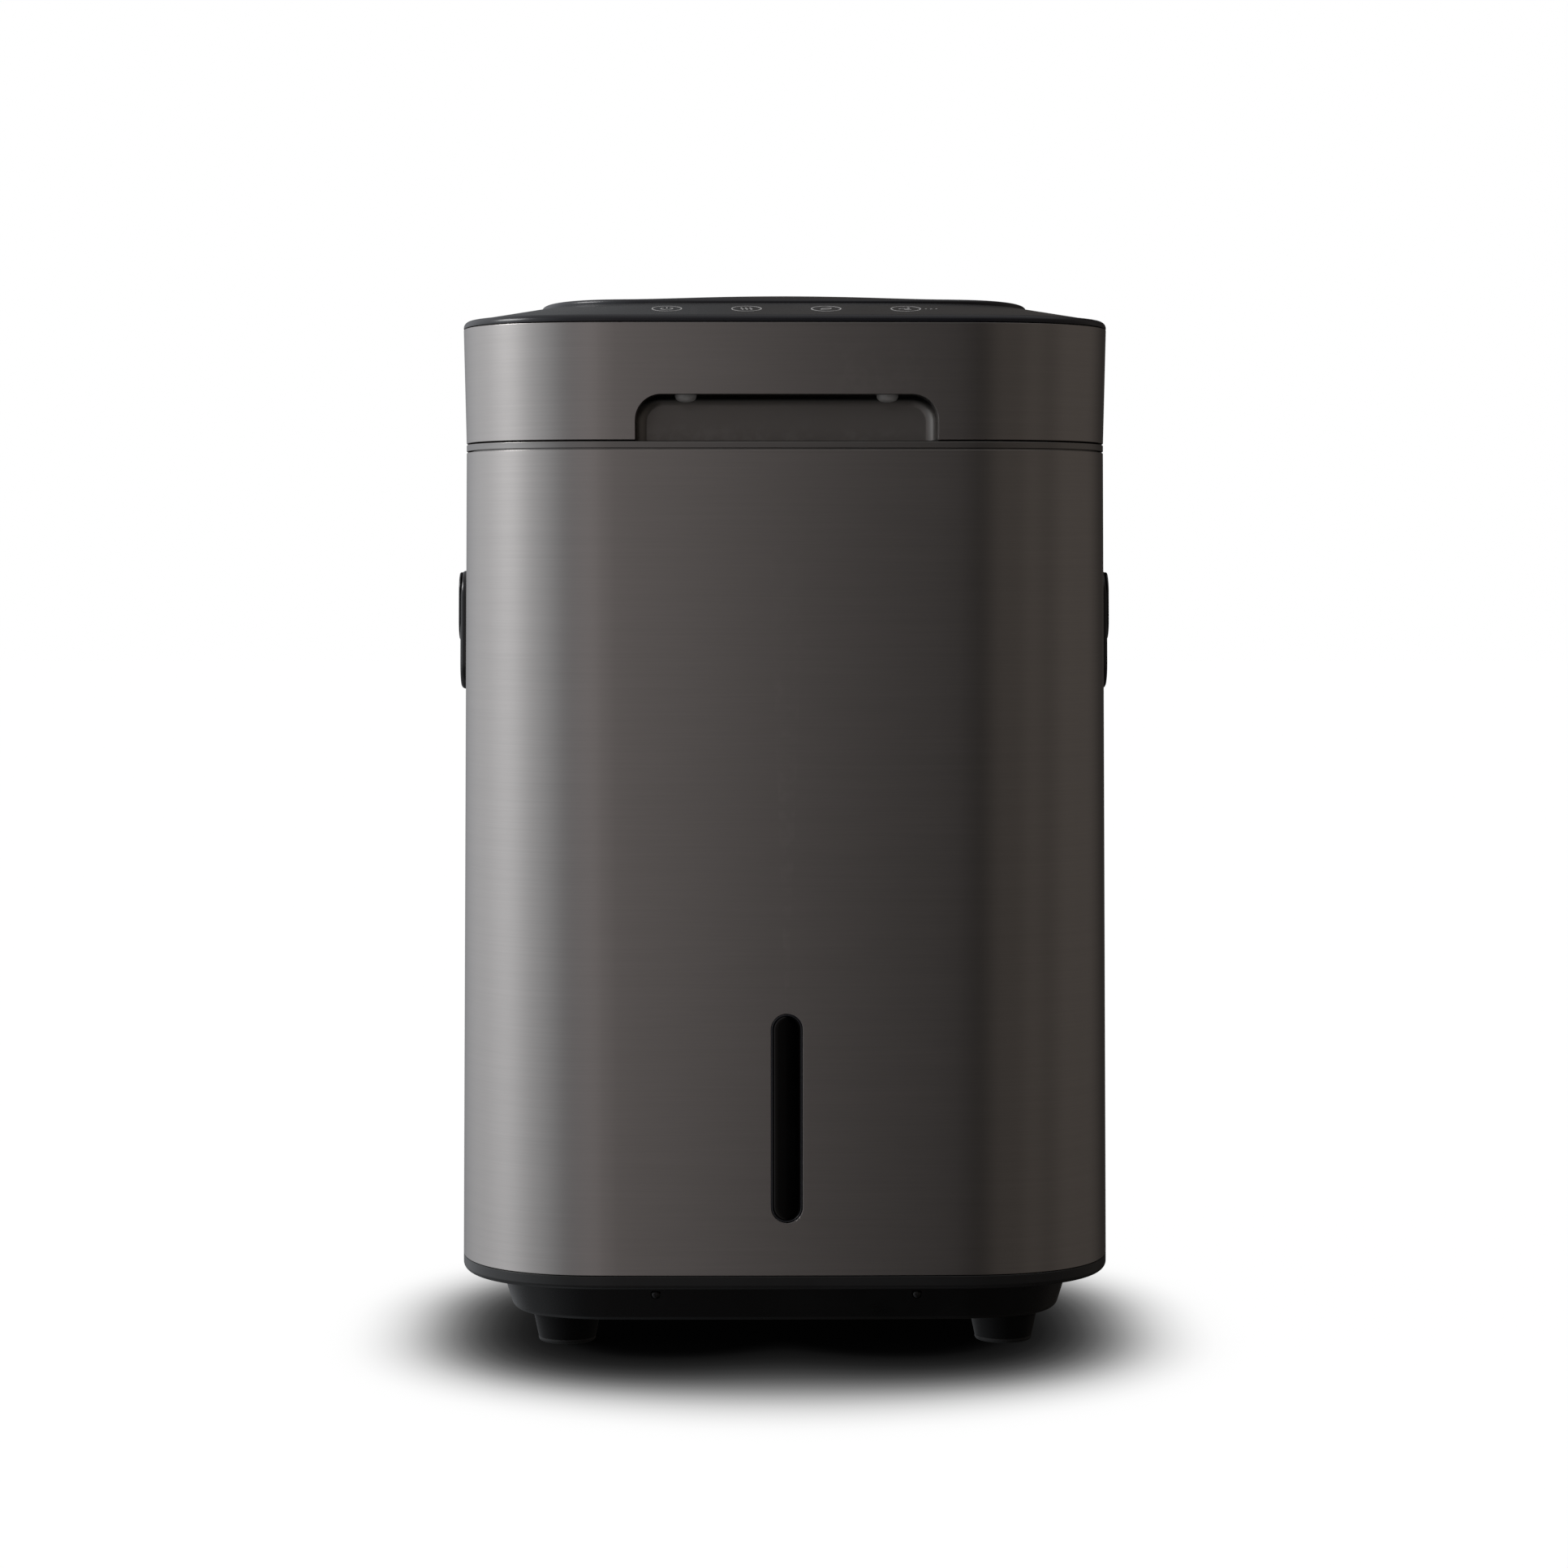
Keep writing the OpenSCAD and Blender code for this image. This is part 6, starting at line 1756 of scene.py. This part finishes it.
@dataclass
class Stirrer:
    """The steel tank and the paddles and shaft that turn in it."""

    axis_y: float = -20 * MM
    axis_z: float = 300 * MM
    tank_radius: float = 110 * MM
    tank_half: float = 125 * MM
    sheet: float = 1.5 * MM
    flange: float = 9 * MM
    flange_thickness: float = 2 * MM
    mouth_radius: float = 22 * MM
    shaft_radius: float = 8 * MM
    arm: Point2 = (12 * MM, 7 * MM)
    tip: Point3 = (34 * MM, 5 * MM, 24 * MM)
    reach: float = 102 * MM
    end_room: float = 35 * MM
    twist: float = 25.0
    paddles: int = 4

    def build(self) -> None:
        """Builds and dresses every piece."""
        dress(self.tank(), Look.STEEL, "cabinet", "tank")
        dress(self.paddle_set(), Look.CASTING, "stirrer", "paddles")
        dress(self.shaft(), Look.PLATED, "stirrer", "agitator_shaft")

    def trough(self, grow: float, top: float) -> list[Point2]:
        """The tank's section across X, about the axis: a round bottom with upright walls."""
        radius = self.tank_radius + grow
        return circle(radius, 4, 45, 90) + [(radius, top), (-radius, top)]

    def along(self, made: Body) -> Body:
        """Turns a body drawn along Z to lie along X on the stirring axis."""
        return place(made, lengthwise(self.axis_y, self.axis_z))

    def tank(self) -> Body:
        """The tank, pressed from sheet with rounded end corners, a flange and air slots."""
        top = high("tank").z - self.axis_z
        half, sheet = self.tank_half, self.sheet
        made = prism("steel_tank", self.trough(sheet, top), -half - sheet, half + sheet, edge=9 * MM, foot=9 * MM)
        self.along(made)
        width, depth = 2 * (half + sheet + self.flange), 2 * (self.tank_radius + sheet + self.flange)
        rim, flange = self.axis_z + top, rectangle(width, depth, self.mouth_radius, 12)
        carve(made, shift((0, self.axis_y, 0)), flange, rim - self.flange_thickness, rim, Cut.ADD)
        inside = self.trough(0, top + 20 * MM)
        carve(made, lengthwise(self.axis_y, self.axis_z), inside, -half, half, edge=8 * MM, foot=8 * MM)
        bore = turned_rod("bore", self.shaft_radius + 4.05 * MM, -half - 20 * MM, half + 20 * MM, MM)
        shape(made, self.along(bore))
        outlet = mid_z("filter_housing") + 18 * MM
        slot = prism("air_slot", rectangle(4 * MM, 20 * MM, 1.9 * MM, 5), -5 * MM, 5 * MM)
        place(slot, across(0, 0, 0))
        shape(made, Rows(11, 1, 9 * MM, 0, (0, self.axis_y + self.tank_radius, outlet)).of(slot))
        return soften(made, 0.4 * MM, 40, 2)

    def paddle_set(self) -> Body:
        """Four cast paddles, each a hub, a tapered arm and a twisted tip."""
        pitch = 2 * (self.tank_half - self.end_room) / (self.paddles - 1)
        parts = []
        for number in range(self.paddles):
            made = self.paddle(self.twist if number % 2 == 0 else -self.twist)
            place(made, rotate("X", 45 + 90 * number))
            x = (number - (self.paddles - 1) / 2) * pitch
            parts.append(place(made, shift((x, self.axis_y, self.axis_z))))
        return soften(join("cast_paddles", parts), 0, 38)

    def paddle(self, twist: float) -> Body:
        """One paddle about the origin, its shaft along X and its arm upwards."""
        hub = turned_rod("hub", self.shaft_radius + 5 * MM, -9 * MM, 9 * MM, 1.2 * MM)
        made = place(hub, rotate("Y"))
        tip_wide, tip_thick, tip_tall = self.tip
        arm_wide, arm_thick = self.arm
        arm = rectangle(arm_wide, arm_thick, 2.5 * MM, 5)
        carve(made, shift((0, 0, 0)), arm, self.shaft_radius + 2 * MM, self.reach - tip_tall + 2 * MM, Cut.ADD)
        tip = prism("tip", rectangle(tip_wide, tip_tall, 5 * MM, 6), -tip_thick / 2, tip_thick / 2)
        place(tip, across(0, 0, self.reach - 2 * MM - tip_tall / 2))
        shape(made, place(tip, rotate("Z", twist)), Cut.ADD)
        bore = turned_rod("hub_bore", self.shaft_radius + 0.05 * MM, -30 * MM, 30 * MM, MM)
        shape(made, place(bore, rotate("Y")))
        return baked(soften(made, 1.2 * MM, 36, 3))

    def shaft(self) -> Body:
        """The stirring shaft, with chamfered ends and a clip groove at each end."""
        lo, hi = corners("agitator_shaft")
        radius, cut = self.shaft_radius, 0.5 * MM
        left, right = low("shaft_clips").x, high("shaft_clips").x
        profile = [(radius - 0.8 * MM, lo.x), (radius, lo.x + 0.8 * MM)]
        for start, stop in ((left, left + 1.2 * MM), (right - 1.2 * MM, right)):
            profile += [(radius, start), (radius - cut, start), (radius - cut, stop), (radius, stop)]
        profile += [(radius, hi.x - 0.8 * MM), (radius - 0.8 * MM, hi.x)]
        return soften(self.along(lathe("stirring_shaft", profile, 64)), 0, 30)


# ---- what stays as constructed


INNER_FINISHES: tuple[tuple[Finish, str], ...] = (
    (Look.BOARD, "sensor_board main_board control_board"),
    (Look.BRASS, "inlet_pins motor_pinion board_standoffs"),
    (Look.SILICONE, "tank_seal filter_seal"),
    (Look.HEATER, "heater_pad"),
    (Look.CASTING, "side_plate_left side_plate_right"),
    (Look.NYLON, "shaft_bushings driven_gear idler_gear"),
    (Look.RUBBER, "shaft_seals"),
    (Look.PLATED, "shaft_clips idler_axle motor_screws motor_shaft power_supply lid_motor hinge_shafts"),
    (Look.DARK, "gear_motor fan_rotor fan_duct filter_housing"),
    (Look.TRIM, "fan_frame board_parts"),
    (Look.CARBON, "carbon_block"),
)


def dress_inner() -> None:
    """Gives each CAD node that stays its procedural finish."""
    finishes = {node: finish for finish, nodes in INNER_FINISHES for node in nodes.split()}
    for node, finish in finishes.items():
        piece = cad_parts[node]
        if not piece.material_slots:
            piece.data.materials.append(finish.material())
        for material_slot in piece.material_slots:
            material_slot.material = finish.material()
        LOG.info("%s keeps its construction, %s", node, finish.name)


# ---- studio


@dataclass
class Studio:
    """A white floor, a room that is bright on the left and dim in front, and the camera at the photograph's place.

    The room's brightness is given by the direction in degrees, 0 in front and 90 on the left. The painted shadow on
    the floor under the object is dark where its distance from the outline, in metres, is below 0.
    """

    lens: float = 86.3
    distance: float = 2.0474
    height: float = 0.3974
    swing: float = 0.7
    turn: float = -0.725
    tilt: float = 3.29
    overhead: float = 0.45
    overhead_rise: Point2 = (0.6, 0.9)
    below_rise: Point4 = (-0.55, 0.0, 0.3, 1.0)
    box_at: Point3 = (-1.7, -0.35, 1.45)
    box_aim: Point3 = (0, 0, 0.35)
    box_size: Point2 = (0.8, 0.7)
    box_glow: float = 9.0
    floor_own: float = 0.008
    floor_seen: float = 0.30
    room: tuple[Point2, ...] = (
        (-180, 0.06), (-150, 0.03), (-120, 0.126), (-100, 0.126), (-80, 0.137), (-60, 0.091), (-45, 0.136),
        (-35, 0.085), (-27, 0.093), (-20, 0.13), (-14, 0.015), (-9, 0.0), (-1, 0.0), (3, 0.25), (6, 0.43),
        (9, 0.47), (13, 0.39), (18, 0.29), (25, 0.27), (33, 0.44), (43, 0.582), (55, 0.713), (66, 0.933),
        (80, 1.119), (106, 0.899), (130, 0.768), (150, 0.524), (168, 0.273), (180, 0.06))
    tints: tuple[tuple[float, Colour], ...] = (
        (-1, (1, 0.90, 0.83)), (4, (1, 0.935, 0.925)), (12, (1, 0.945, 0.975)), (20, (1, 0.975, 1.01)),
        (29, (1, 1.03, 1.08)))
    # Centre, reach, shape and darkness curve of the shadow painted on the floor.
    painted_shadow_middle: Point2 = (-1.5 * MM, -86.9 * MM)
    painted_shadow_reach: Point2 = (180.1 * MM, 171.7 * MM)
    painted_shadow_power: float = 2.565
    painted_shadow_stretch: float = 1.695
    painted_shadow: tuple[Point2, ...] = (
        (-0.13, 0.0004), (-0.12, 0.001), (-0.11, 0.0022), (-0.10, 0.0048), (-0.087, 0.0075), (-0.075, 0.0115),
        (-0.063, 0.0215), (-0.051, 0.0395), (-0.039, 0.071), (-0.027, 0.125), (-0.015, 0.206), (-0.003, 0.314),
        (0.003, 0.381), (0.015, 0.514), (0.027, 0.651), (0.039, 0.763), (0.051, 0.855), (0.063, 0.925), (0.075, 0.972),
        (0.087, 0.99), (0.105, 1.0))

    def build(self) -> None:
        """Builds the floor, the light, the room and the camera."""
        self.floor()
        self.softbox()
        self.world()
        self.camera()
        view = bpy.context.scene.view_settings
        view.view_transform = "Standard"
        view.look = "None"
        view.exposure = 0.0
        view.gamma = 1.0

    def camera(self) -> None:
        """The camera: a long lens, nearly straight in front and looking slightly down."""
        data = bpy.data.cameras.new("camera")
        data.lens = self.lens
        data.sensor_width = 36
        made = new_object("camera", data)
        swing = radians(self.swing)
        made.location = (-self.distance * sin(swing), -self.distance * cos(swing), self.height)
        made.rotation_euler = (radians(90 - self.tilt), 0, radians(self.turn))
        bpy.context.scene.camera = made

    def tint(self, turn: float) -> Colour:
        """The tint of the room's light from one side: warm from the right, neutral from the left."""
        if turn <= self.tints[0][0]:
            return self.tints[0][1]
        for (start, one), (stop, other) in zip(self.tints, self.tints[1:]):
            if turn <= stop:
                return between(one, other, (turn - start) / (stop - start))
        return self.tints[-1][1]

    def curve(self, graph: Graph, value: Socket, stops: Points,
              tint: Callable[[float], Colour] = lambda at: (1, 1, 1)) -> Socket:
        """A brightness that follows stops of (value, brightness).

        Args:
            graph: The nodes to add to.
            value: The socket that the brightness follows.
            stops: Pairs of value and brightness, in rising order.
            tint: Gives the tint at a value.

        Returns:
            The colour.
        """
        start, stop = stops[0][0], stops[-1][0]
        share = graph.add("ShaderNodeMapRange", {"Value": value, "From Min": start, "From Max": stop}).outputs[0]
        node = graph.add("ShaderNodeValToRGB", {"Fac": share})
        steps = node.color_ramp.elements
        while len(steps) < len(stops):
            steps.new(0.5)
        for step, (at, bright) in zip(steps, stops):
            step.position = (at - start) / (stop - start)
            step.color = (*(bright * share for share in tint(at)), 1)
        return node.outputs["Color"]

    def floor(self) -> None:
        """A wide white floor with a soft painted shadow under the object, drawn as emitted white that darkens near it.
        """
        half = 14.0
        edges = [Vector((x, y, 0)) for x, y in ((-half, -half), (half, -half), (half, half), (-half, half))]
        plane = mesh_from("floor", edges, [(0, 1, 2, 3)])
        made = bpy.data.materials.new("floor_white")
        graph = Graph.of(made)
        middle = (*self.painted_shadow_middle, 0)
        moved = graph.add("ShaderNodeVectorMath", {0: graph.place_of(), 1: middle}, operation="SUBTRACT").outputs[0]
        sides = graph.add("ShaderNodeSeparateXYZ", {0: moved}).outputs
        shares = [graph.math("DIVIDE", sides[axis], self.painted_shadow_reach[axis]) for axis in (0, 1)]
        parts = [graph.math("POWER", graph.math("ABSOLUTE", share, 0), self.painted_shadow_power) for share in shares]
        ring = graph.math("POWER", graph.math("ADD", *parts), 1 / self.painted_shadow_power)
        stretch = (self.painted_shadow_stretch, 1, 1)
        wider = graph.add("ShaderNodeVectorMath", {0: moved, 1: stretch}, operation="MULTIPLY").outputs[0]
        away = graph.add("ShaderNodeVectorMath", {0: wider}, operation="LENGTH").outputs["Value"]
        beyond = graph.math("MULTIPLY", away, graph.math("SUBTRACT", 1.0, graph.math("DIVIDE", 1.0, ring)))
        # Painted shadow: the floor's emitted white darkens towards the object's outline.
        bright = self.curve(graph, beyond, self.painted_shadow)
        glow = graph.add("ShaderNodeEmission", {"Color": bright})
        lit = graph.add("ShaderNodeBsdfDiffuse", {"Color": (*(self.floor_own,) * 3, 1)})
        shown = graph.add("ShaderNodeAddShader", {0: lit.outputs[0], 1: glow.outputs[0]})
        seen = graph.add("ShaderNodeBsdfDiffuse", {"Color": (*(self.floor_seen,) * 3, 1)})
        direct = graph.add("ShaderNodeLightPath").outputs["Is Camera Ray"]
        mixed = graph.add("ShaderNodeMixShader", {0: direct, 1: seen.outputs[0], 2: shown.outputs[0]})
        graph.add("ShaderNodeOutputMaterial", {"Surface": mixed.outputs[0]})
        plane.data.materials.append(made)
        plane.visible_glossy = False
        plane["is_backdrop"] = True

    def softbox(self) -> None:
        """A rectangular soft light of even brightness, which the camera doesn't see."""
        data = bpy.data.lights.new("left_box", "AREA")
        data.shape = "RECTANGLE"
        data.size, data.size_y = self.box_size
        data.energy = self.box_glow * pi * data.size * data.size_y
        made = new_object("left_box", data)
        made.location = self.box_at
        made.rotation_euler = (Vector(self.box_aim) - Vector(self.box_at)).to_track_quat("-Z", "Y").to_euler()
        made.visible_camera = False

    def world(self) -> None:
        """The room: its brightness changes round the object, and the camera sees plain white past it."""
        world = bpy.data.worlds.new("studio")
        bpy.context.scene.world = world
        graph = Graph.of(world)
        way = graph.add("ShaderNodeSeparateXYZ", {0: graph.add("ShaderNodeTexCoord").outputs["Generated"]}).outputs
        turned = graph.math("ARCTAN2", graph.math("MULTIPLY", way["X"], -1), graph.math("MULTIPLY", way["Y"], -1))
        walls = self.curve(graph, graph.math("DEGREES", turned, 0), self.room, self.tint)
        over = graph.mix(ramp(graph, way["Z"], *self.overhead_rise), walls, (*(self.overhead,) * 3, 1))
        strength = ramp(graph, way["Z"], *self.below_rise)
        dim = graph.add("ShaderNodeBackground", {"Color": over, "Strength": strength})
        white = graph.add("ShaderNodeBackground", {"Color": (1, 1, 1, 1), "Strength": 1.0})
        direct = graph.add("ShaderNodeLightPath").outputs["Is Camera Ray"]
        mixed = graph.add("ShaderNodeMixShader", {0: direct, 1: dim.outputs[0], 2: white.outputs[0]})
        graph.add("ShaderNodeOutputWorld", {"Surface": mixed.outputs[0]})


def main() -> None:
    """Builds every sub-assembly in order, then the studio."""
    logging.basicConfig(level=logging.INFO, format="%(name)s: %(message)s")
    lid = Lid()
    for part in (Cabinet(), SensorWindow(), Handle(-1), Handle(1), BackPanel(), lid, TouchMarks(lid),
                 LidInside(lid), Stirrer()):
        LOG.info("building %s", type(part).__name__)
        part.build()
    dress_inner()
    Studio().build()
    plain = [[list(corner) for corner in box] for box in (CAD_BOX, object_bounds())]


if __name__ == "__main__":
    main()
